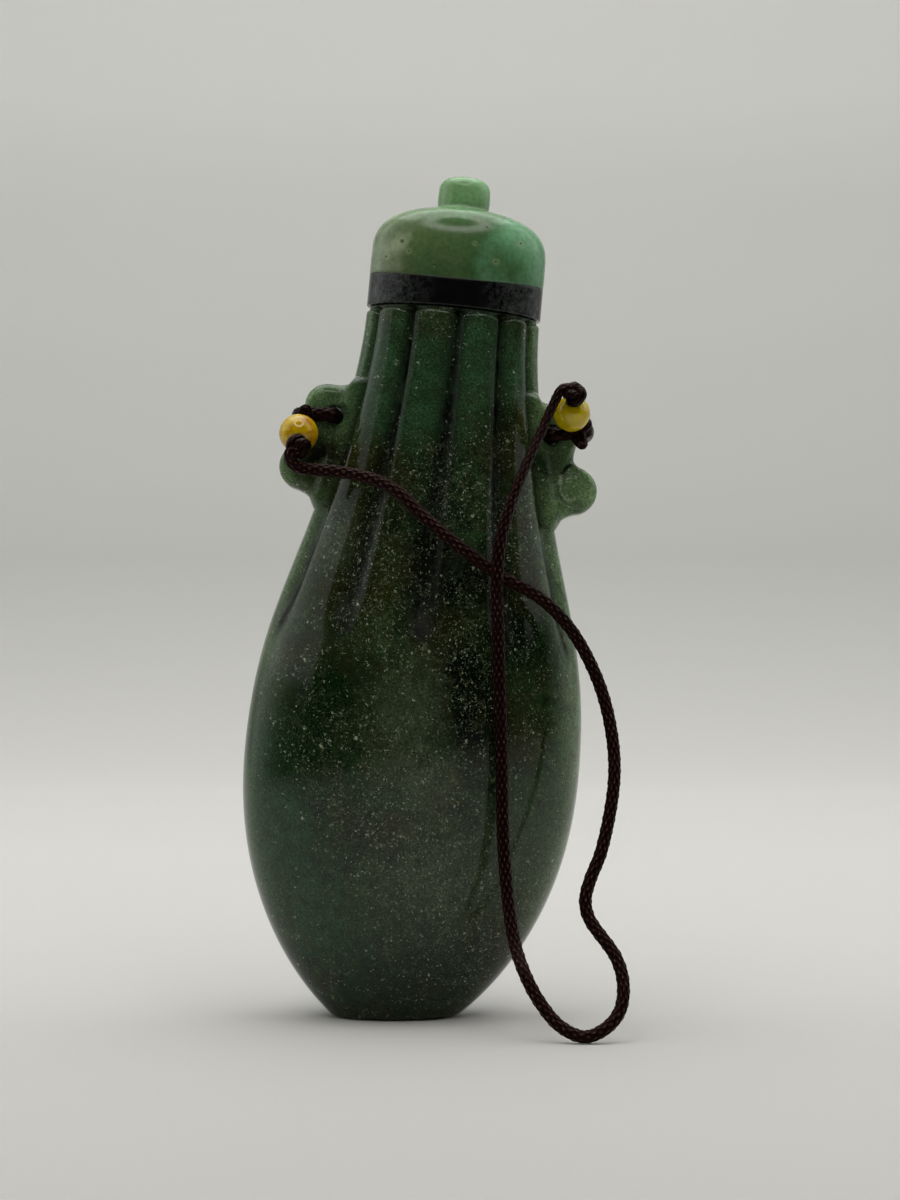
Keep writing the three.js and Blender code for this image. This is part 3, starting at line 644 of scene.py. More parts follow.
def carving(height, from_channel, from_lobe):
    """Depth of the cut: the lobe's swell, plus (1 - t^2)^1.8 across the channel, which gives it
    soft shoulders, plus the round petal tops, which roll in under a thin ring at the lip."""
    half_channel = channel_half_width(height)[:, None]
    h = height[:, None]
    across = np.clip(from_channel / np.maximum(half_channel, 1e-6), 0, 1)
    swell = LOBE_SWELL * up_channels(height)[:, None] * (2 * from_lobe) ** 2
    depth = mix(CHANNEL_DEPTH_LOW, CHANNEL_DEPTH_TOP, up_channels(height)[:, None])
    fade = smooth(h, CHANNEL_FOOT_HEIGHT, CHANNEL_FOOT_HEIGHT + NOSE_FADE_LENGTH)
    cut = swell + depth * fade * (1 - across**2) ** SHOULDER_SOFTNESS
    arch = PETAL_ARCH_HEIGHT * (1 - np.sqrt(1 - (PETAL_ARCH_SPREAD * from_lobe) ** 2))
    petal_top = BODY_HEIGHT - LIP_RING - arch
    roll = np.clip((h - petal_top + PETAL_ROLL) / PETAL_ROLL, 0, 1)
    cut = cut + PETAL_CUT * (1 - np.sqrt(1 - roll**2))
    ring = smooth(h, BODY_HEIGHT - LIP_RING, BODY_HEIGHT - LIP_RING + LIP_RING_STEP)
    corner = np.clip((h - BODY_HEIGHT + LIP_ROUNDING) / LIP_ROUNDING, 0, 1)
    return mix(cut, LIP_RING_CUT + LIP_ROUNDING * (1 - np.sqrt(1 - corner**2)), ring)


def outer_wall(height):
    """Rings of the outside. Near the foot they lean over by degrees, down to level ground."""
    angle, from_channel, from_lobe = lobe_columns(height)
    level = np.clip(1 - height / FOOT_HALF_WIDTH, 0, 1)[:, None]
    here = height[:, None] + foot_height(angle) * level
    width = half_width(here)
    cut = carving(height, from_channel, from_lobe)
    return oval_point(width, width * depth_share(here), angle, cut, here)


def foot_edge():
    """Rings of the foot: flat on the ground, then a quarter circle up to the wall."""
    t = np.concatenate([[-1.0, -0.5], np.linspace(0, 1, 7)[:-1]])[:, None]
    roll = np.clip(t, 0, 1) * np.pi / 2
    inwards = FOOT_ROUNDING * (1 - np.sin(roll)) + 2.0 * np.clip(-t, 0, 1)
    lift = FOOT_ROUNDING * (1 - np.cos(roll))
    angle = next(lobe_columns(np.zeros(1)))
    here = foot_height(angle) + lift
    width = half_width(here)
    points = oval_point(width, width * depth_share(here), angle, inwards, here)
    points[..., 2] = points[..., 0] * math.tan(LEAN) + lift
    return points


outer_heights = np.concatenate([
    FOOT_ROUNDING + (BELLY_HEIGHT - FOOT_ROUNDING) * np.linspace(0, 1, 44) ** 1.2,
    np.linspace(BELLY_HEIGHT, CHANNEL_FOOT_HEIGHT - 0.3, 14)[1:],
    CHANNEL_FOOT_HEIGHT - 0.3 + 4.5 * np.linspace(0, 1, 30)[1:] ** 1.6,
    np.linspace(42.4, BODY_HEIGHT - 1.9, 62)[1:],
    np.linspace(BODY_HEIGHT - 1.9, BODY_HEIGHT, 28)[1:],
])
outer = outer_wall(outer_heights)
print("outer wall:", outer.shape[:2], "rows and columns")

# %% The hollow
WALL = 3.0
FLOOR = 4.0
HOLLOW_ROUNDING = 7.0
BORE_RADIUS = 3.75
BORE_LENGTH = 9.0
SHOULDER_LENGTH = 20.0


def inner_wall(height):
    """Rings of the hollow: a round bore, which opens into an oval one wall thinner than the
    outside, and closes over the floor along a quarter circle."""
    bore_end = BODY_HEIGHT - BORE_LENGTH
    opened = 1 - smooth(height, bore_end - SHOULDER_LENGTH, bore_end)
    into_floor = np.clip((height - FLOOR) / HOLLOW_ROUNDING, 0, 1)
    round_off = np.sqrt(1 - (1 - into_floor) ** 2)
    width = half_width(height)
    half_out, half_deep = (
        (mix(BORE_RADIUS, size - WALL, opened) * round_off)[:, None]
        for size in (width, width * depth_share(height)))
    angle = next(lobe_columns(height))
    return oval_point(half_out, half_deep, angle, 0.0, height[:, None])


floor_edge = FLOOR + HOLLOW_ROUNDING
inner_heights = np.concatenate([
    [BODY_HEIGHT, BODY_HEIGHT - 0.4, BODY_HEIGHT - BORE_LENGTH],
    np.linspace(BODY_HEIGHT - BORE_LENGTH, floor_edge, 16)[1:],
    mix(FLOOR, floor_edge, np.linspace(1, 0.12, 6)[1:] ** 1.5),
])
inner = inner_wall(inner_heights)
shell = grid_piece("bottle_shell", lean_over(np.concatenate([foot_edge(), outer, inner])))
print("bottle without handles:", len(shell.data.polygons), "faces")

# %% [markdown]
# ## The handles
#
# Each handle was left standing when the neck was ground down: a flat slab with an upper horn,
# a notch and a lower scroll, its edges rubbed round. The slab is a grid round one inner point,
# from which every point of the outline can be seen. Going outwards, the face is flat and then
# falls along a quarter circle into the rim. The right scroll also carries a shallow cut curl.
# The slabs are then joined to the shell, and a drilled hole is cut, so the bottle is one solid.

# %% Outline of a handle
HANDLE_EDGE = 1.15
HANDLE_MIDDLE = np.array([12.0, 59.0])
HANDLE_ROOT_SINK = 2.6
ROOT_SWELL = 0.7
ROOT_SPREAD = 1.3
HOLE_FLARE = 0.28
HOLE_FLARE_DEPTH = 0.4
CURL_RADIUS = 1.6
CURL_DEPTH = 0.2
CURL_HALF_WIDTH = 0.24
CURL_SETS_IN = (70, 95)
CURL_RUNS_OUT = (255, 285)


def arc(centre, radius, start, end, count):
    """Points of an arc, from a start angle to an end angle in degrees."""
    angle = np.radians(np.linspace(start, end, count))
    return centre + radius * np.stack([np.cos(angle), np.sin(angle)], axis=-1)


def handle_outline():
    """The outline in the plane of the bottle, out and up: root, fillet, horn, notch, scroll,
    fillet and root, smoothed to one closed curve."""
    top_root, bottom_root = HANDLE_TOP + HANDLE_FILLET, HANDLE_BOTTOM - HANDLE_FILLET
    top_neck, bottom_neck = (float(half_width(np.array(h))) for h in (top_root, bottom_root))
    root = HANDLE_ROOT_SINK
    upper = np.array([
        [bottom_neck - root, bottom_root],
        [top_neck - root - 0.6, mix(bottom_root, top_root, 0.5)],
        [top_neck - root, top_root], [top_neck - 0.3, top_root],
        [top_neck + 0.3, HANDLE_TOP + 0.3], [top_neck + HANDLE_FILLET, HANDLE_TOP],
    ])
    notch = np.array([[HORN_OUT - NOTCH_DEPTH, SCROLL_CENTRE[1] + NOTCH_ABOVE_SCROLL]])
    lower = np.array([
        [bottom_neck + 0.6, HANDLE_BOTTOM + 0.3], [bottom_neck - 0.3, bottom_root]])
    return np.concatenate([
        upper, arc(HORN_CENTRE, HORN_RADIUS, 90, 2, 9), notch,
        arc(SCROLL_CENTRE, SCROLL_RADIUS, 62, -84, 14), lower,
    ])


def outline_reach(columns):
    """How far the outline is from the handle's middle, at evenly spaced angles."""
    flat = np.concatenate([handle_outline(), np.zeros((len(handle_outline()), 1))], axis=1)
    line = curve_through(flat, 0.05, closed=True)[:, :2] - HANDLE_MIDDLE
    angle = np.arctan2(line[:, 1], line[:, 0])
    order = np.argsort(angle)
    even = np.linspace(-np.pi, np.pi, columns, endpoint=False)
    reach = np.interp(even, angle[order], np.linalg.norm(line, axis=1)[order], period=2 * np.pi)
    return even, reach


# %% The handles' surfaces
def curl_cut(out, up):
    """Depth of the cut curl, D (1 - t^2)^1.5 across a C-shaped arc round the scroll. It sets in
    and runs out over two spans of angle in degrees."""
    x, y = out - SCROLL_CENTRE[0], up - SCROLL_CENTRE[1]
    off_arc = np.abs(np.hypot(x, y) - CURL_RADIUS)
    angle = np.degrees(np.arctan2(y, x)) % 360
    ends = smooth(angle, *CURL_SETS_IN) * (1 - smooth(angle, *CURL_RUNS_OUT))
    across = np.clip(off_arc / CURL_HALF_WIDTH, 0, 1)
    return CURL_DEPTH * ends * (1 - across**2) ** 1.5


def handle(name, side, columns, rows, curl):
    """One slab. Rows go from the middle of the front face out to the rim and in again over the
    back. Half thickness is T/2 - E + sqrt(E^2 - (E - d)^2), d being the distance to the rim."""
    angle, reach = outline_reach(columns)
    share = 1 - (1 - np.linspace(0.02, 1, rows)) ** 1.7
    radius = share[:, None] * reach[None, :]
    out = HANDLE_MIDDLE[0] + radius * np.cos(angle)
    up = HANDLE_MIDDLE[1] + radius * np.sin(angle)
    inwards = np.minimum((1 - share[:, None]) * reach[None, :], HANDLE_EDGE)
    round_off = np.sqrt(np.maximum(HANDLE_EDGE**2 - (HANDLE_EDGE - inwards) ** 2, 0))
    half = HANDLE_THICKNESS / 2 - HANDLE_EDGE + round_off
    half = half - (curl_cut(out, up) if curl else 0)
    at_neck = np.clip(1 - (out - half_width(up)) / ROOT_SPREAD, 0, 1) ** 2
    half = half + ROOT_SWELL * at_neck * smooth(inwards, 0, HANDLE_EDGE)
    front = np.stack([side * out, -half, up], axis=-1)
    rim_y = np.linspace(-half[-1], half[-1], 6)[1:-1]
    rim = np.stack(np.broadcast_arrays(side * out[-1], rim_y, up[-1]), axis=-1)
    back = (front * np.array([1, -1, 1]))[::-1]
    points = np.concatenate([front, rim, back])
    points = points if side < 0 else points[:, ::-1]
    return grid_piece(name, lean_over(points))


def hole_drill(name, side):
    """A pin through the hole, flared at both faces as a drilled hole's worn edges are."""
    y = np.linspace(-3.2, 3.2, 33)
    to_face = HANDLE_THICKNESS / 2 + 0.05 - np.abs(y)
    flare = HOLE_FLARE * np.clip(1 - to_face / HOLE_FLARE_DEPTH, 0, 1.6) ** 2
    turn = once_round(48)
    radius = (HOLE_RADIUS + flare)[:, None]
    points = np.stack(np.broadcast_arrays(
        side * HOLE_CENTRE[0] + radius * np.cos(turn), y[:, None],
        HOLE_CENTRE[1] + radius * np.sin(turn)), axis=-1)
    return grid_piece(name, lean_over(points[::-1]))


slabs = [handle("slab_left", -1, 120, 22, False), handle("slab_right", 1, 220, 46, True)]
drills = [hole_drill("drill_left", -1), hole_drill("drill_right", 1)]


# %% Join the slabs and cut the holes
def join_and_cut(piece, joined, cut):
    """Applies one boolean join or cut after another, and removes the tools."""
    for tool, way in [*((one, "UNION") for one in joined), *((one, "DIFFERENCE") for one in cut)]:
        step = piece.modifiers.new(tool.name, "BOOLEAN")
        step.operation = way
        step.solver = "MANIFOLD"
        step.object = tool
    bpy.context.view_layer.update()
    whole = bpy.data.meshes.new_from_object(
        piece.evaluated_get(bpy.context.evaluated_depsgraph_get()))
    piece.modifiers.clear()
    piece.data = whole
    for tool in [*joined, *cut]:
        bpy.data.objects.remove(tool)
    return piece


bottle = join_and_cut(shell, slabs, drills)
bottle.name = "bottle_stone"
bottle.data.shade_smooth()
bottle.data.set_sharp_from_angle(angle=math.radians(50))
triangles = sum(len(polygon.vertices) - 2 for polygon in bottle.data.polygons)
print("bottle in one solid:", triangles, "triangles")

# %% [markdown]
# ## The stopper
#
# The stopper is two turned ovals, one black and one green, cemented together. The joint between
# them dips a little to the front and back, as the cap's edge was ground slightly hollow.
# The cap is drawn as rings of one profile: an upright wall, a dome a little fuller than an
# ellipse, and a small round-topped knob. The section changes from the neck's oval below to a
# circle at the knob.

# %% Collar
COLLAR_BOTTOM = BODY_HEIGHT + 0.03
COLLAR_TOP = BODY_HEIGHT + 3.42
COLLAR_RADIUS = NECK_HALF_WIDTH + 0.05
COLLAR_EDGE = 0.16
JOINT_DIP = 0.55
PLUG_RADIUS = BORE_RADIUS - 0.35
PLUG_LENGTH = 4.7
STOPPER_COLUMNS = 144


def stopper_rings(radius, height, share, dip):
    """Oval rings about the axis. A ring is lowered by dip times sin^2 of its angle."""
    turn = once_round(STOPPER_COLUMNS)[None, :]
    radius, height, share, dip = (np.asarray(part, dtype=float)[:, None]
                                  for part in (radius, height, share, dip))
    up = height - dip * np.sin(turn) ** 2
    return oval_point(radius, radius * share, turn, 0.0, up)


OVAL = NECK_HALF_DEPTH / NECK_HALF_WIDTH
PLUG_END = BODY_HEIGHT - PLUG_LENGTH
corner = np.radians(np.linspace(0, 90, 6))
profile = [
    (PLUG_RADIUS - 0.5, PLUG_END, 1, 0), (PLUG_RADIUS - 0.15, PLUG_END + 0.2, 1, 0),
    (PLUG_RADIUS, PLUG_END + 1, 1, 0), (PLUG_RADIUS, COLLAR_BOTTOM, 1, 0),
    (COLLAR_RADIUS - 1.2, COLLAR_BOTTOM, OVAL, 0),
    *((COLLAR_RADIUS - COLLAR_EDGE * (1 - math.sin(a)), COLLAR_BOTTOM + COLLAR_EDGE * (
        1 - math.cos(a)), OVAL, 0) for a in corner),
    *((COLLAR_RADIUS, mix(COLLAR_BOTTOM + COLLAR_EDGE, COLLAR_TOP - 0.04, s), OVAL, JOINT_DIP * s)
      for s in np.linspace(0.1, 1, 10)),
    (COLLAR_RADIUS - 0.02, COLLAR_TOP, OVAL, JOINT_DIP),
    (PLUG_RADIUS, COLLAR_TOP - JOINT_DIP, 1, 0),
]
collar = grid_piece("stopper_collar_black", lean_over(stopper_rings(*zip(*profile))))
print("collar:", len(collar.data.polygons), "faces")

# %% Cap
CAP_BOTTOM = COLLAR_TOP + 0.02
CAP_SHOULDER = BODY_HEIGHT + 5.95
CAP_RADIUS = COLLAR_RADIUS
DOME_HEIGHT = 5.05
DOME_FULLNESS = 2.65
KNOB_RADIUS = 2.72
KNOB_FILLET = 0.45
KNOB_TOP = BODY_HEIGHT + 14.4
KNOB_ROUNDING = 1.3
WALL_SWELL = 0.03
KNOB_SWELL = 0.05
CROWN_SWELL = 0.12


def dome_height(radius):
    """Height of the dome: H (1 - (r/R)^n)^(1/n) over the shoulder."""
    share = np.clip(radius / CAP_RADIUS, 0, 1)
    return CAP_SHOULDER + DOME_HEIGHT * (1 - share**DOME_FULLNESS) ** (1 / DOME_FULLNESS)


def cap_profile():
    """Radius, height, share of depth and dip of every ring, from the joint up to the knob."""
    wall, rise = np.linspace(0, 1, 12), np.linspace(0, 1, 6)[1:]
    wall_radius = CAP_RADIUS + WALL_SWELL * np.sin(np.pi * wall)
    dome_radius = mix(CAP_RADIUS, KNOB_RADIUS + KNOB_FILLET, np.linspace(0, 1, 40)[1:] ** 2.2)
    foot = float(dome_height(np.array(KNOB_RADIUS + KNOB_FILLET)))
    fillet = np.radians(np.linspace(8, 90, 8))
    fillet_radius = KNOB_RADIUS + KNOB_FILLET * (1 - np.sin(fillet))
    knob_radius = KNOB_RADIUS + KNOB_SWELL * np.sin(np.pi * rise)
    edge = np.radians(np.linspace(0, 88, 14))[1:]
    crown_edge = KNOB_RADIUS - KNOB_ROUNDING
    crown = np.array([0.8, 0.5, 0.2]) * crown_edge
    parts = (
        ([BORE_RADIUS, CAP_RADIUS - 0.05], [CAP_BOTTOM - JOINT_DIP, CAP_BOTTOM]),
        (wall_radius, mix(CAP_BOTTOM + 0.05, CAP_SHOULDER, wall)),
        (dome_radius, dome_height(dome_radius)),
        (fillet_radius, foot + KNOB_FILLET * (1 - np.cos(fillet))),
        (knob_radius, mix(foot + KNOB_FILLET, KNOB_TOP - KNOB_ROUNDING, rise)),
        (crown_edge + KNOB_ROUNDING * np.cos(edge), KNOB_TOP - KNOB_ROUNDING * (1 - np.sin(edge))),
        (crown, KNOB_TOP + CROWN_SWELL * (1 - (crown / crown_edge) ** 2)),
    )
    radius, height = (np.concatenate(column) for column in zip(*parts))
    out = np.clip((radius - KNOB_RADIUS) / (CAP_RADIUS - KNOB_RADIUS), 0, 1)
    share = np.where(radius > KNOB_RADIUS, mix(KNOB_RADIUS, CAP_RADIUS * OVAL, out) / radius, 1.0)
    dip = JOINT_DIP * np.clip(1 - (height - CAP_BOTTOM) / (CAP_SHOULDER - CAP_BOTTOM), 0, 1)
    share[0] = 1.0
    dip[0] = 0.0
    return radius, height, share, dip


cap = grid_piece("stopper_cap_green", lean_over(stopper_rings(*cap_profile())))
print("cap:", len(cap.data.polygons), "faces")

# %% The stone pieces take their places
for piece, node, slot in (
    (bottle, "bottle_body", "green_stone"),
    (collar, "stopper_collar", "black_stone"),
    (cap, "stopper_cap", "pale_green_stone"),
):
    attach(piece, "root")
    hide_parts(node)

# %% [markdown]
# ## Finishes
#
# A finish starts from what the material is. Each pattern below has its size in millimetres, and
# one helper turns that into a texture scale. A small class adds the nodes and joins them up, so
# every line of a material is one step of its recipe.


# %% Helpers for materials
def linear(code):
    """An sRGB hex colour as linear red, green, blue and alpha."""
    values = np.array([int(code[i:i + 2], 16) for i in (1, 3, 5)]) / 255
    values = np.where(values <= 0.04045, values / 12.92, ((values + 0.055) / 1.055) ** 2.4)
    return (*values.tolist(), 1.0)


def per_mm(size):
    """Texture scale for features of a size in millimetres, because object space is in metres."""
    return 1 / (size * MM)


def in_metres(span):
    """A span in millimetres, as metres."""
    return span[0] * MM, span[1] * MM


class Finish:
    """The nodes of a material or a world. A method adds its node and returns the output."""

    def __init__(self, block):
        block.use_nodes = True
        self.block, self.tree = block, block.node_tree
        self.tree.nodes.clear()

    def add(self, kind, inputs=(), **settings):
        """Adds a node and returns it. inputs gives sockets, by name or in their order, a value or
        the output that feeds each, and settings are the node's own properties."""
        node = self.tree.nodes.new(kind)
        for name, value in settings.items():
            setattr(node, name, value)
        named = inputs if isinstance(inputs, dict) else dict(enumerate(inputs))
        for name, value in named.items():
            if isinstance(value, bpy.types.NodeSocket):
                self.tree.links.new(value, node.inputs[name])
            else:
                node.inputs[name].default_value = value
        return node

    def places(self):
        """Places in object space."""
        return self.add("ShaderNodeTexCoord").outputs["Object"]

    def part(self, place, axis):
        """The X, Y or Z of a place."""
        return self.add("ShaderNodeSeparateXYZ", [place]).outputs[axis]

    def kept(self, name):
        """A number that is kept at each point of the mesh."""
        return self.add("ShaderNodeAttribute", attribute_name=name).outputs["Fac"]

    def noise(self, place, size, detail, roughness=0.5, output="Fac"):
        """Noise with features of a size in millimetres."""
        return self.add("ShaderNodeTexNoise", {
            "Vector": place, "Scale": per_mm(size), "Detail": detail, "Roughness": roughness,
        }).outputs[output]

    def cells(self, place, spacing):
        """Cells with a spacing in millimetres, as all the outputs of the node."""
        return self.add("ShaderNodeTexVoronoi", {
            "Vector": place, "Scale": per_mm(spacing)}).outputs

    def fit(self, value, low, high, to_low=0.0, to_high=1.0, **settings):
        """A value carried over from one range to another, and kept within it."""
        inputs = (value, low, high, to_low, to_high)
        return self.add("ShaderNodeMapRange", inputs, **settings).outputs["Result"]

    def maths(self, way, *values, **settings):
        """One step of arithmetic with numbers."""
        return self.add("ShaderNodeMath", values, operation=way, **settings).outputs[0]

    def vector(self, way, *values):
        """One step with vectors. Dot products and distances come out as numbers."""
        node = self.add("ShaderNodeVectorMath", values, operation=way)
        return node.outputs["Value" if way in ("DOT_PRODUCT", "DISTANCE") else 0]

    def scaled(self, vector, factor):
        """A vector times a number."""
        return self.add("ShaderNodeVectorMath", {0: vector, "Scale": factor},
                        operation="SCALE").outputs[0]

    def bent(self, place, size, detail, reach):
        """Places pushed about by noise, over a reach in millimetres."""
        push = self.noise(place, size, detail, output="Color")
        return self.vector("ADD", place, self.scaled(push, reach * MM))

    def over(self, colour, weight, code):
        """A colour with another one laid over it by weight."""
        return self.add("ShaderNodeMix", {0: weight, 6: colour, 7: linear(code)},
                        data_type="RGBA").outputs[2]

    def ramp(self, value, *stops):
        """Colours along a value. A stop is a place on the way and a colour."""
        node = self.add("ShaderNodeValToRGB", {"Fac": value})
        known = node.color_ramp.elements
        for element, (place, code) in zip(known, (stops[0], stops[-1])):
            element.position, element.color = place, linear(code)
        for place, code in stops[1:-1]:
            known.new(place).color = linear(code)
        return node.outputs["Color"]

    def bump(self, height, strength, reach, **settings):
        """The normal over fine relief with a reach in millimetres."""
        return self.add("ShaderNodeBump", {
            "Height": height, "Strength": strength, "Distance": reach * MM,
        }, **settings).outputs["Normal"]

    def put_on(self, pieces, inputs):
        """Adds the shader of the surface, and gives the material to pieces."""
        shader = self.add("ShaderNodeBsdfPrincipled", inputs, subsurface_method="RANDOM_WALK")
        self.add("ShaderNodeOutputMaterial", {"Surface": shader.outputs[0]})
        for piece in pieces:
            piece.data.materials.clear()
            piece.data.materials.append(self.block)


# %% [markdown]
# ### Green stone
#
# The body is a dark green stone in the way of serpentine or aventurine quartz: a fine sugary
# grain, cloudy patches from bottle green to olive and grey, and many tiny pale flecks, more of
# them low down. It is polished, so it mirrors its surroundings softly, and it lets a little
# light through where it is thin, as at the handles and the narrow sides. That glow is painted
# into the colour there as painted light, and on the narrow sides it also stands for a painted
# sheen.
# The broad patches are soft blobs at chosen places. They are kept on the mesh as attributes, as
# are the painted shade in the channels and the fine lines in the right scroll. Everything finer is
# made of noise in object space.

# %% Broad patches of the green stone
# Each blob has the place of its centre and its radius, in millimetres. The last two pairs are
# heights on the axis between which the painted shade of the channels fades out beside the handles.
PATCHES = {
    "deep": [
        (-9.4, -6.5, 29.0, 5.5), (-10.4, -5.5, 22.0, 4.5), (-6.0, -8.5, 34.5, 4.5),
        (4.5, -6.0, 68.0, 2.4), (1.0, -8.0, 4.0, 5.0), (13.4, -7.5, 38.5, 3.6),
        (15.4, -2.2, 57.5, 2.6), (3.0, 9.0, 30.0, 8.0), (-7.0, 8.0, 50.0, 6.0),
        (9.0, 7.0, 60.0, 5.0),
    ],
    "clear": [
        (-3.0, -6.0, 69.0, 5.5), (5.5, -6.0, 64.0, 5.0), (9.0, -5.0, 70.0, 4.0),
        (12.0, -4.0, 67.0, 3.0), (-0.5, -6.0, 62.5, 3.6), (-11.5, -6.0, 16.0, 6.0),
        (-7.0, -8.0, 9.0, 5.5), (-12.5, -6.0, 21.0, 4.5), (-14.5, -4.0, 30.0, 4.0),
        (14.5, -5.0, 23.0, 4.5), (0.0, 7.0, 68.0, 7.0), (-12.0, 6.0, 26.0, 7.0),
    ],
    "olive": [
        (-1.8, -8.5, 45.0, 4.5), (-6.0, -7.0, 44.0, 3.2), (13.4, -8.3, 29.3, 3.6),
        (-1.5, -6.0, 57.0, 3.0), (12.4, -5.0, 60.0, 2.4), (-5.5, -3.5, 57.0, 3.0),
        (-9.7, -6.0, 37.7, 2.6), (-8.4, -2.0, 57.6, 2.6), (6.0, -9.5, 40.5, 2.6),
        (9.0, 8.0, 18.0, 6.0), (-4.0, 8.0, 42.0, 5.0),
    ],
    "pale": [
        (0.4, -10.5, 31.6, 2.0), (2.5, -10.5, 33.5, 3.6), (2.2, -10.5, 26.5, 4.0),
        (-7.0, -5.5, 49.5, 3.0), (-10.8, -4.5, 42.0, 3.0), (12.5, -8.0, 17.5, 5.5),
        (3.0, -10.0, 13.0, 6.0), (-12.8, -3.5, 34.0, 3.5), (-8.0, 8.0, 14.0, 8.0),
        (10.0, 8.0, 42.0, 5.0),
    ],
    "dark": [
        (7.8, -10.0, 33.5, 2.6), (8.2, -10.0, 29.5, 2.8), (7.0, -10.0, 36.8, 2.4),
        (12.6, -8.5, 40.0, 2.2), (5.0, -9.0, 44.5, 3.0), (3.5, -8.5, 48.5, 2.2),
        (9.5, -8.0, 46.0, 2.6), (-7.6, -2.2, 59.0, 2.4), (-6.0, 9.0, 33.0, 5.0),
        (2.0, 7.0, 62.0, 4.0),
    ],
    "flecked": [
        (4.5, -6.0, 55.5, 5.5), (-1.0, -8.5, 49.0, 4.5), (-2.5, -8.5, 41.0, 4.0),
        (8.5, -9.0, 38.0, 5.0), (2.0, -9.5, 18.0, 9.0), (9.0, -9.0, 8.0, 7.0),
        (-7.0, -7.5, 26.0, 5.0), (4.0, 8.0, 46.0, 9.0), (0.0, 8.0, 16.0, 10.0),
    ],
}

HANDLE_SHADE_FROM = (47, 51)
HANDLE_SHADE_TO = (65, 68)


def patch_weights(points, blobs):
    """Sum of bell curves exp(-(distance/radius)^2), limited to 1."""
    total = np.zeros(len(points))
    for *centre, radius in blobs:
        distance = np.linalg.norm(points - np.array(centre), axis=1)
        total = total + np.exp(-(distance / radius) ** 2)
    return np.clip(total, 0, 1)


def thin_stone_painted_glow(points):
    """Up to 1 where the stone is thin and lets light through: fully on the handles, and less so
    on the narrow sides of the oval above the foot. It marks a painted glow of that light, and on
    the narrow sides also a painted sheen."""
    out, up = np.abs(points[:, 0]), points[:, 2]
    width = half_width(up)
    painted_handle_glow = smooth(out - width, 0.2, 4.6) * smooth(up, 50, 53)
    painted_side_glow_and_sheen = smooth(out / width, 0.76, 1.0) * 0.62
    return np.clip(np.maximum(painted_handle_glow, painted_side_glow_and_sheen * smooth(up, 6, 16)), 0, 1)


def painted_channel_shade(points):
    """1 along the bottom of a channel and exp(-(distance/width)^2) beside it, fading out at the
    roots of the handles. It darkens the channels as painted shade, and makes them rougher and less
    shiny."""
    height = points[:, 2]
    width = half_width(height)
    deep = width * depth_share(height)
    angle = np.arctan2(points[:, 1] / deep, points[:, 0] / width)
    turn = np.abs(np.angle(np.exp(1j * (channel_angles(height) - angle[:, None])))).min(axis=1)
    distance = turn * np.hypot(points[:, 0], points[:, 1])
    reach = 0.62 * channel_half_width(height) + 0.1
    fade = smooth(height, CHANNEL_FOOT_HEIGHT - 0.5, CHANNEL_FOOT_HEIGHT + 2)
    at_handle = smooth(height, *HANDLE_SHADE_FROM) * (1 - smooth(height, *HANDLE_SHADE_TO))
    side = np.abs(points[:, 0]) / width
    fade = fade * (1 - smooth(side, 0.78, 0.96) * at_handle) * (side < 1)
    return np.exp(-(distance / reach) ** 2) * fade


CUT_LINE_RADIUS = 0.2
PALE_LINE_RADIUS = 0.18
CUT_LINES = [
    [(18.45, -2.1, 57.7), (17.95, -2.1, 57.35), (17.5, -2.1, 56.7)],
    [(17.3, -2.1, 55.4), (17.4, -2.1, 54.7)],
]
# A pale line on the right scroll, beside the cut curl.
PALE_LINES = [
    [(17.35, -2.1, 56.4), (17.3, -2.1, 55.45), (17.55, -2.1, 54.4), (18.2, -2.1, 53.9),
     (18.8, -2.1, 54.0)],
]


def line_weights(points, lines, radius):
    """1 on any of the lines and exp(-(distance/radius)^2) beside them."""
    marks = np.concatenate([curve_through(np.array(line), 0.08) for line in lines])
    distance = np.min([np.linalg.norm(points - mark, axis=1) for mark in marks], axis=0)
    return np.exp(-(distance / radius) ** 2)


count = len(bottle.data.vertices)
places = np.empty(count * 3)
bottle.data.vertices.foreach_get("co", places)
places = places.reshape(-1, 3) / MM
upright = stand_up(places)
weights = {name: patch_weights(places, blobs) for name, blobs in PATCHES.items()}
weights["thin"] = thin_stone_painted_glow(upright)
weights["shade"] = painted_channel_shade(upright)
weights["cut_line"] = line_weights(places, CUT_LINES, CUT_LINE_RADIUS)
weights["pale_line"] = line_weights(places, PALE_LINES, PALE_LINE_RADIUS)
for name, values in weights.items():
    keep(bottle, name, values)
    print(name, "covers", int((values > 0.5).sum()), "points")

# %% Green stone, ground and polished
# Dark, cloudy and sugary, with pale flecks that lie just under a soft polish.
# A kind of fleck has a spacing and a size in millimetres, a strength, and a stretch, from 0 for
# a round fleck to nearly 1 for a long dash. A layer has a patch, a colour and a strength.
CLOUD_SIZE = 9.0
CLOUDLET_SIZE = 1.6
TINT_SIZE = 4.5
GRAIN_SIZE = 0.22
CROWD_SIZE = 3.5
CLUSTER_SPACING = 3.4
SPECK_SIZE = 0.3
THREAD_SPACING = 2.4
SMEAR_SIZE = 6
FLECK_KINDS = (
    (0.9, 0.12, 0.75, 0.4), (0.42, 0.07, 0.8, 0.3), (0.27, 0.055, 0.65, 0.0),
    (0.5, 0.05, 0.85, 0.82), (0.57, 0.05, 0.85, 0.85), (0.66, 0.055, 0.85, 0.85),
)
# The thin layer is a painted glow of light through thin stone, with a painted sheen on the narrow
# sides.
LAYERS = (
    ("thin", "#688559", 0.85), ("deep", "#091c08", 0.94), ("clear", "#29442b", 0.8),
    ("olive", "#1f2108", 0.9), ("pale", "#343f2c", 0.95), ("dark", "#030802", 0.95),
    # The shade layer is painted shade in the channels.
    ("shade", "#020501", 0.95), ("cut_line", "#060a04", 1.5), ("pale_line", "#9aac88", 0.6),
)

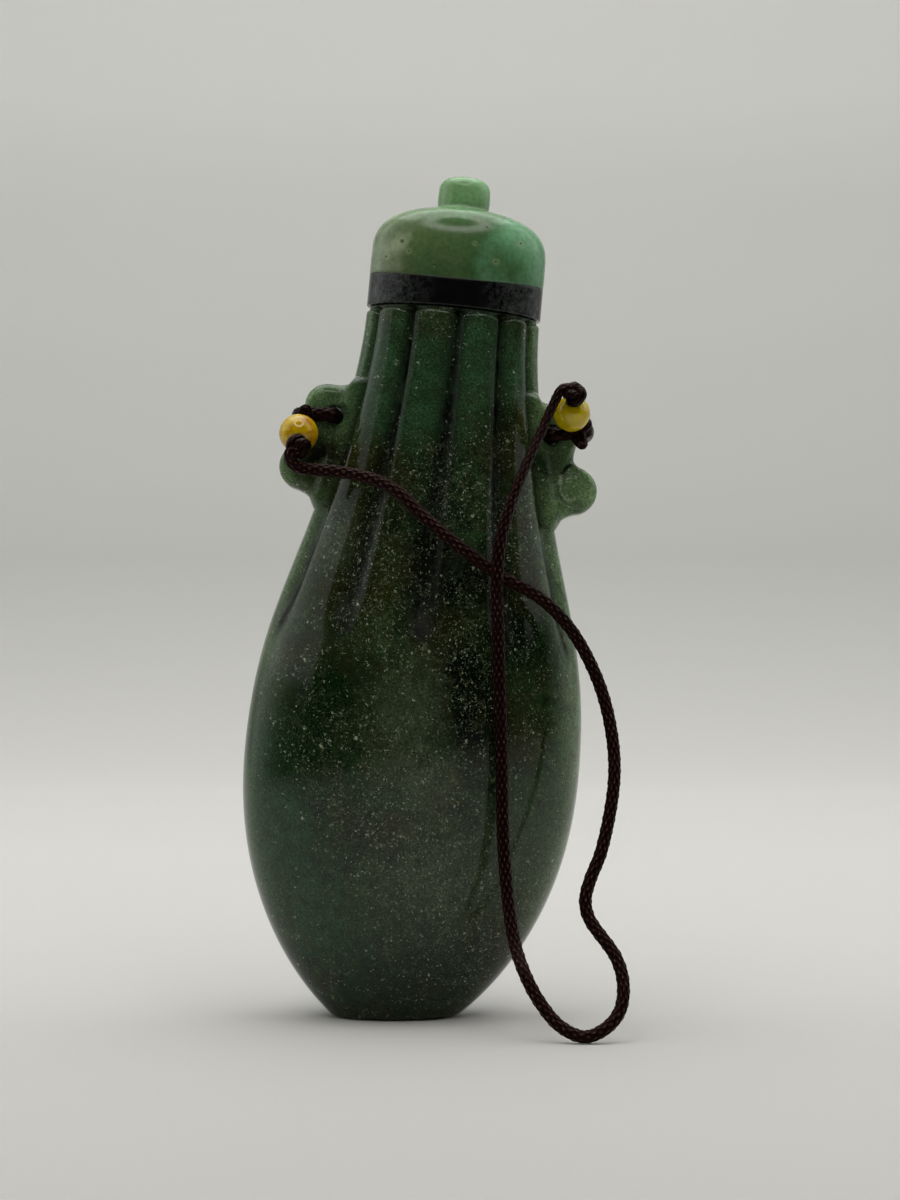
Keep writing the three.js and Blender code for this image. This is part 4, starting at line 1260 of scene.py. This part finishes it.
stone = Finish(bpy.data.materials.new("green_stone_polished"))
where = stone.places()
bent = stone.bent(where, size=14, detail=3.0, reach=8)
colour = stone.ramp(
    stone.noise(bent, CLOUD_SIZE, 5.0, 0.55),
    (0.3, "#0a1507"), (0.44, "#13240e"), (0.56, "#1d3019"), (0.7, "#303c26"))
cloudlet = stone.noise(bent, CLOUDLET_SIZE, 4.0, 0.62)
colour = stone.vector("MULTIPLY", colour, stone.fit(cloudlet, 0.36, 0.66, 0.44, 1.75))
tint = stone.fit(stone.noise(bent, TINT_SIZE, 3.0), 0.42, 0.62, 0.0, 0.75)
colour = stone.over(colour, tint, "#26220f")
ragged = stone.fit(cloudlet, 0.36, 0.62, 0.5)
for patch, code, strength in LAYERS:
    weight = stone.maths("MULTIPLY", stone.kept(patch), ragged)
    weight = stone.maths("MULTIPLY", weight, strength * 1.25, use_clamp=True)
    colour = stone.over(colour, weight, code)
grain = stone.fit(stone.noise(where, GRAIN_SIZE, 2.0, 0.6), 0.3, 0.7, 0.42, 1.65)
colour = stone.vector("MULTIPLY", colour, grain)

crowd = stone.fit(stone.noise(bent, CROWD_SIZE, 3.0), 0.4, 0.6, 0.03, 0.6)
crowd = stone.add("ShaderNodeMix", {0: stone.kept("flecked"), 2: crowd, 3: 0.75}).outputs[0]
clear = stone.maths("MULTIPLY_ADD", stone.kept("clear"), -0.8, 1.0)
cluster = stone.fit(stone.cells(bent, CLUSTER_SPACING)["Distance"], 0.16, 0.08)
crowd = stone.maths("MAXIMUM", stone.maths("MULTIPLY", crowd, clear), cluster)
wobble = stone.bent(where, size=0.24, detail=1.0, reach=0.5)
for spacing, size, strength, stretch in FLECK_KINDS:
    cells = stone.cells(wobble, spacing)
    off = stone.vector("SUBTRACT", wobble, cells["Position"])
    lie = stone.vector("NORMALIZE", stone.vector("SUBTRACT", cells["Color"], (0.5, 0.5, 0.5)))
    along = stone.maths("MULTIPLY", stone.vector("DOT_PRODUCT", off, lie), stretch)
    away = stone.vector("DISTANCE", off, stone.scaled(lie, along))
    chance = stone.add("ShaderNodeSeparateColor", [cells["Color"]]).outputs
    wanted = stone.maths("LESS_THAN", chance["Red"], crowd)
    reach = stone.fit(chance["Green"], 0.0, 1.0, size * 0.4 * MM, size * 1.5 * MM)
    bright = stone.fit(chance["Blue"], 0.0, 1.0, strength * 0.25, strength)
    spot = stone.maths("MULTIPLY", stone.fit(away, reach, 0.0, 0.0, 2.2), wanted)
    spot = stone.maths("MULTIPLY", spot, bright, use_clamp=True)
    colour = stone.over(colour, spot, "#98a38b")
speck = stone.fit(stone.noise(where, SPECK_SIZE, 3.0, 0.8), 0.57, 0.68, 0.0, 0.3)
thread = stone.maths("SUBTRACT", stone.noise(wobble, THREAD_SPACING, 4.0, 0.6), 0.5)
thread = stone.fit(stone.maths("ABSOLUTE", thread), 0.012, 0.0, 0.0, 0.45)
for light_part in (speck, thread):
    colour = stone.over(colour, stone.maths("MULTIPLY", light_part, crowd), "#6f7b5c")

gloss = stone.fit(stone.noise(where, SMEAR_SIZE, 4.0), 0.3, 0.7, 0.07, 0.15)
gloss = stone.maths("MULTIPLY_ADD", stone.kept("thin"), 0.14, gloss)
shade = stone.kept("shade")
stone.put_on([bottle], {
    "Base Color": colour, "Roughness": stone.maths("MULTIPLY_ADD", shade, 0.22, gloss),
    "IOR": 1.54, "Specular IOR Level": stone.maths("MULTIPLY_ADD", shade, -0.19, 0.26),
    "Subsurface Weight": 0.15, "Subsurface Radius": (0.6, 1.0, 0.5),
    "Subsurface Scale": 1.2 * MM, "Normal": stone.bump(cloudlet, 0.15, 0.1)})
print("green stone:", len(stone.tree.nodes), "nodes")

# %% [markdown]
# ### Light green stone of the cap
#
# The cap is a clearer, lighter stone. It is evenly green, with an olive cloud on the left, a
# bluer green on the right and a few pits where grains broke out under the wheel. The palest
# green at the left is partly a painted reflection of a side light, the knob is painted lighter
# towards its top as painted light, and the wall is painted darker towards the band as painted
# shade.

# %% Light green stone, ground and polished
# Each of the pits that show has a place across and up, and a radius, in millimetres. The three
# pairs are the spans, also in millimetres, over which the colour changes across the cap, up the
# knob and up the cap's wall. Up the knob it grows lighter as painted light, and up the wall it
# loses a painted shade that darkens it towards the band.
COLOUR_SPAN = (-1.0, 15.0)
KNOB_SPAN = (82.5, 85.5)
WALL_SPAN = (76.5, 80.5)
CLOUD_SHARE = 0.32
PIT_SPACING = 2.3
PIT_CHANCE = 0.45
PIT_COLOUR = "#1f3016"
PITS = ((0.8, 80.7, 0.14), (-0.9, 79.3, 0.08), (8.35, 80.2, 0.06), (10.5, 78.4, 0.08),
        (13.1, 80.5, 0.07), (1.5, 79.6, 0.07), (0.3, 81.6, 0.05))

pale = Finish(bpy.data.materials.new("light_green_stone_polished"))
where = pale.places()
height = pale.part(where, "Z")
# Pale olive on the left to bluer green on the right; the palest green on the left is partly a
# painted reflection of a side light.
blend = pale.fit(pale.part(where, "X"), *in_metres(COLOUR_SPAN), 0.0, 0.72)
blend = pale.maths("ADD", blend, pale.noise(where, size=5.5, detail=4.0))
colour = pale.ramp(
    pale.maths("SUBTRACT", blend, CLOUD_SHARE),
    (0.05, "#96a687"), (0.3, "#566a41"), (0.56, "#42643a"), (0.85, "#669a70"))
# Painted light: the knob grows lighter towards its top.
painted_knob_light = pale.fit(height, *in_metres(KNOB_SPAN), 0.0, 0.45)
colour = pale.over(colour, painted_knob_light, "#92c086")
grain = pale.noise(where, size=0.5, detail=3.0, roughness=0.6)
grain = pale.fit(grain, 0.3, 0.7, 0.82, 1.18)
# Painted shade: the wall darkens towards the band.
painted_wall_shade = pale.fit(height, *in_metres(WALL_SPAN), 0.62, 1.02)
for factor in (grain, painted_wall_shade):
    colour = pale.vector("MULTIPLY", colour, factor)
cells = pale.cells(where, PIT_SPACING)
chosen = pale.add("ShaderNodeSeparateColor", [cells["Color"]]).outputs["Green"]
chosen = pale.maths("GREATER_THAN", chosen, PIT_CHANCE)
pit = pale.maths("MULTIPLY", pale.fit(cells["Distance"], 0.085, 0.035), chosen)
colour = pale.over(colour, pit, PIT_COLOUR)
flat = pale.vector("MULTIPLY", where, (1.0, 0.0, 1.0))
for across, up, radius in PITS:
    away = pale.vector("DISTANCE", flat, (across * MM, 0.0, up * MM))
    halo = pale.fit(away, radius * 7 * MM, 0.0, 0.0, 0.6)
    colour = pale.over(colour, halo, "#8c9a70")
    spot = pale.fit(away, radius * 1.8 * MM, radius * MM, 0.0, 0.8)
    pit = pale.maths("MAXIMUM", pit, spot)
    colour = pale.over(colour, spot, PIT_COLOUR)
pale.put_on([cap], {
    "Base Color": colour, "Roughness": 0.19, "IOR": 1.54, "Specular IOR Level": 0.38,
    "Subsurface Weight": 0.3, "Subsurface Radius": (0.6, 1.0, 0.5),
    "Subsurface Scale": 1.2 * MM, "Normal": pale.bump(pit, 0.5, 0.08, invert=True)})
print("light green stone:", len(pale.tree.nodes), "nodes")

# %% [markdown]
# ### Black band, amber and silk
#
# The band is a black stone or horn with a faint grey at its sides, partly dust of wear and
# partly a painted reflection of the side lights. The beads are cloudy amber: light sinks in,
# spreads and comes out warmer, so most of their colour comes from under the surface. The cord is
# dyed silk, nearly black in its gaps as painted shade, with a dull sheen on the strands that lie
# on top that is partly a painted highlight in their colour.

# %% Black stone, satin
# The grey on the band's outer parts is partly dust of wear and partly a painted reflection of the
# side lights. Its middle and the grey's span are in millimetres.
BAND_MIDDLE = 6.5
DUST_AND_SHEEN_SPAN = (2.0, 7.5)

black = Finish(bpy.data.materials.new("black_stone_satin"))
where = black.places()
off_middle = black.maths("SUBTRACT", black.part(where, "X"), BAND_MIDDLE * MM)
off_middle = black.fit(black.maths("ABSOLUTE", off_middle), *in_metres(DUST_AND_SHEEN_SPAN), 0.03)
# Dust and painted reflection: grey speckle towards the band's sides.
dust_and_sheen = black.fit(black.noise(where, size=0.7, detail=6.0, roughness=0.85), 0.42, 0.62)
dust_and_sheen = black.maths("MULTIPLY", dust_and_sheen, off_middle)
black.put_on([collar], {
    "Base Color": black.over(linear("#010101"), dust_and_sheen, "#434845"),
    "Roughness": 0.22, "IOR": 1.48, "Specular IOR Level": 0.3})

# %% Amber, turned and polished
PALER_SPAN = (-8.0, 18.0)

amber = Finish(bpy.data.materials.new("amber_turned_polished"))
where = amber.places()
swirl = amber.bent(where, size=2.5, detail=2.0, reach=2.2)
cloud = amber.noise(swirl, size=1.5, detail=3.0)
colour = amber.ramp(cloud, (0.34, "#ae7e00"), (0.5, "#bb9800"), (0.64, "#c4ab00"))
paler = amber.fit(amber.part(where, "X"), *in_metres(PALER_SPAN), 0.0, 0.6)
amber.put_on(beads.values(), {
    "Base Color": amber.over(colour, paler, "#b8ac00"), "Roughness": 0.03, "IOR": 1.54,
    "Subsurface Weight": 0.75, "Subsurface Radius": (0.8, 0.7, 0.1),
    "Subsurface Scale": 1.0 * MM})

# %% Silk, dyed and braided
FIBRE_SIZE = 0.18

silk = Finish(bpy.data.materials.new("silk_dyed_braided"))
fibre = silk.noise(silk.places(), FIBRE_SIZE, 3.0)
top = silk.maths("MULTIPLY", fibre, 0.28)
top = silk.maths("MULTIPLY_ADD", silk.kept("strand"), 0.8, top)
# The colour follows the relief: near black in the gaps as painted shade, pale pink on the tops as
# painted highlights.
silk.put_on(silk_pieces, {
    "Base Color": silk.ramp(
        top, (0.5, "#020000"), (0.76, "#0a0303"), (0.88, "#240f0f"), (0.99, "#7d5a55")),
    "Roughness": 0.3, "IOR": 1.5, "Specular IOR Level": 0.13,
    "Specular Tint": linear("#e8b0a2"), "Normal": silk.bump(fibre, 0.3, 0.03)})

# %% [markdown]
# ## Floor, backdrop and light
#
# The floor runs back and curves up into the backdrop, so there is no line behind the bottle.
# The key light is a ring overhead and a little in front, which shows as a small ring in the
# polish of the cap and the beads. The rest is soft light from above and from the sides. The
# space in front of the bottle, where the picture was taken from, is dim, so the dark stone keeps
# its depth, and its edges mirror the pale backdrop.

# %% Floor and backdrop
SWEEP_HALF_WIDTH = 0.85
FLOOR_FRONT = -1.0
FLOOR_BACK = 0.42
SWEEP_RADIUS = 0.22
WALL_TOP = 1.2


def staged(name, points, quads):
    """An object of the stage, from points in metres and their faces."""
    thing = in_scene(name, mesh_of(name, points.reshape(-1, 3) / MM, quads))
    return thing


bend_angle = np.radians(np.linspace(0, 90, 25))
sweep_y = np.concatenate([[FLOOR_FRONT], FLOOR_BACK + SWEEP_RADIUS * np.sin(bend_angle),
                          [FLOOR_BACK + SWEEP_RADIUS]])
sweep_z = np.concatenate([[0.0], SWEEP_RADIUS * (1 - np.cos(bend_angle)), [WALL_TOP]])
sweep_x = np.linspace(-SWEEP_HALF_WIDTH, SWEEP_HALF_WIDTH, 3)
sweep_points = np.stack(
    np.broadcast_arrays(sweep_x, sweep_y[:, None], sweep_z[:, None]), axis=-1)
rows, columns = sweep_points.shape[:2]
sweep_quads = grid_faces(rows, columns, ring=False).reshape(-1, columns, 4)[:, :-1]
sweep = staged("paper_sweep", sweep_points, sweep_quads.reshape(-1, 4))

paper = Finish(bpy.data.materials.new("paper_matt"))
where = paper.places()
# The paper's colour is painted light and shade: darker at the front, lighter towards the back,
# darker again in the bend, and palest on the wall.
upwards = paper.maths("ADD", paper.part(where, "Y"), paper.part(where, "Z"))
colour = paper.ramp(
    paper.fit(upwards, -0.2, 1.0), (0.1, "#b4b3b0"), (0.18, "#c1c0bc"), (0.34, "#d1d0cc"),
    (0.52, "#dddcd8"), (0.72, "#c5c5c1"), (0.82, "#d7d7d3"), (0.92, "#efefec"))
paper.put_on([sweep], {"Base Color": colour, "Roughness": 0.8, "Specular IOR Level": 0.2})

# %% Ring light overhead
RING_DIRECTION = unit(np.array([0.02, -0.5, 0.866]))
RING_DISTANCE = 0.42
RING_AIM = np.array([0.0, 0.0, 0.04])
RING_RADII = (0.108, 0.2)
RING_POINTS = 64
RING_STRENGTH = 3.7

around = round_axis(RING_DIRECTION, TO_THE_BACK, once_round(RING_POINTS))
ring_centre = RING_DIRECTION * RING_DISTANCE + RING_AIM
ring_points = ring_centre + np.stack([around * radius for radius in RING_RADII])
ring_light = staged("ring_light", ring_points, grid_faces(2, RING_POINTS, ring=False))
glow = Finish(bpy.data.materials.new("ring_light_glow"))
shader = glow.add("ShaderNodeEmission", {
    "Color": linear("#fffdf8"), "Strength": RING_STRENGTH})
glow.add("ShaderNodeOutputMaterial", {"Surface": shader.outputs[0]})
ring_light.data.materials.append(glow.block)


# %% Soft lights and surroundings
def soft_light(name, place, aim, size, power):
    """A square area light at a place, turned to face a point. Places are in metres."""
    data = bpy.data.lights.new(name, "AREA")
    data.shape = "SQUARE"
    data.size = size
    data.energy = power
    light = in_scene(name, data)
    light.location = place
    way = np.array(aim) - np.array(place)
    pitch = math.atan2(math.hypot(way[0], way[1]), -way[2])
    light.rotation_euler = (pitch, 0, math.atan2(-way[0], way[1]))


soft_light("light_above", (0.0, 0.4, 1.1), (0.0, 0.5, 0.0), 1.2, 10.0)
soft_light("light_left", (-0.47, -0.05, 0.45), (0.0, 0.0, 0.08), 0.68, 0.95)
soft_light("light_right", (0.47, -0.03, 0.45), (0.0, 0.0, 0.08), 0.62, 0.8)
sky = Finish(bpy.data.worlds.new("surroundings"))
toward = sky.part(sky.add("ShaderNodeTexCoord").outputs["Generated"], "Y")
dim_front = sky.fit(toward, -0.35, 0.5, 0.02, 0.7, interpolation_type="SMOOTHSTEP")
background = sky.add("ShaderNodeBackground", {"Color": linear("#f4f6f7"), "Strength": dim_front})
sky.add("ShaderNodeOutputWorld", {"Surface": background.outputs[0]})
bpy.context.scene.world = sky.block
bpy.context.scene.view_settings.view_transform = "Standard"
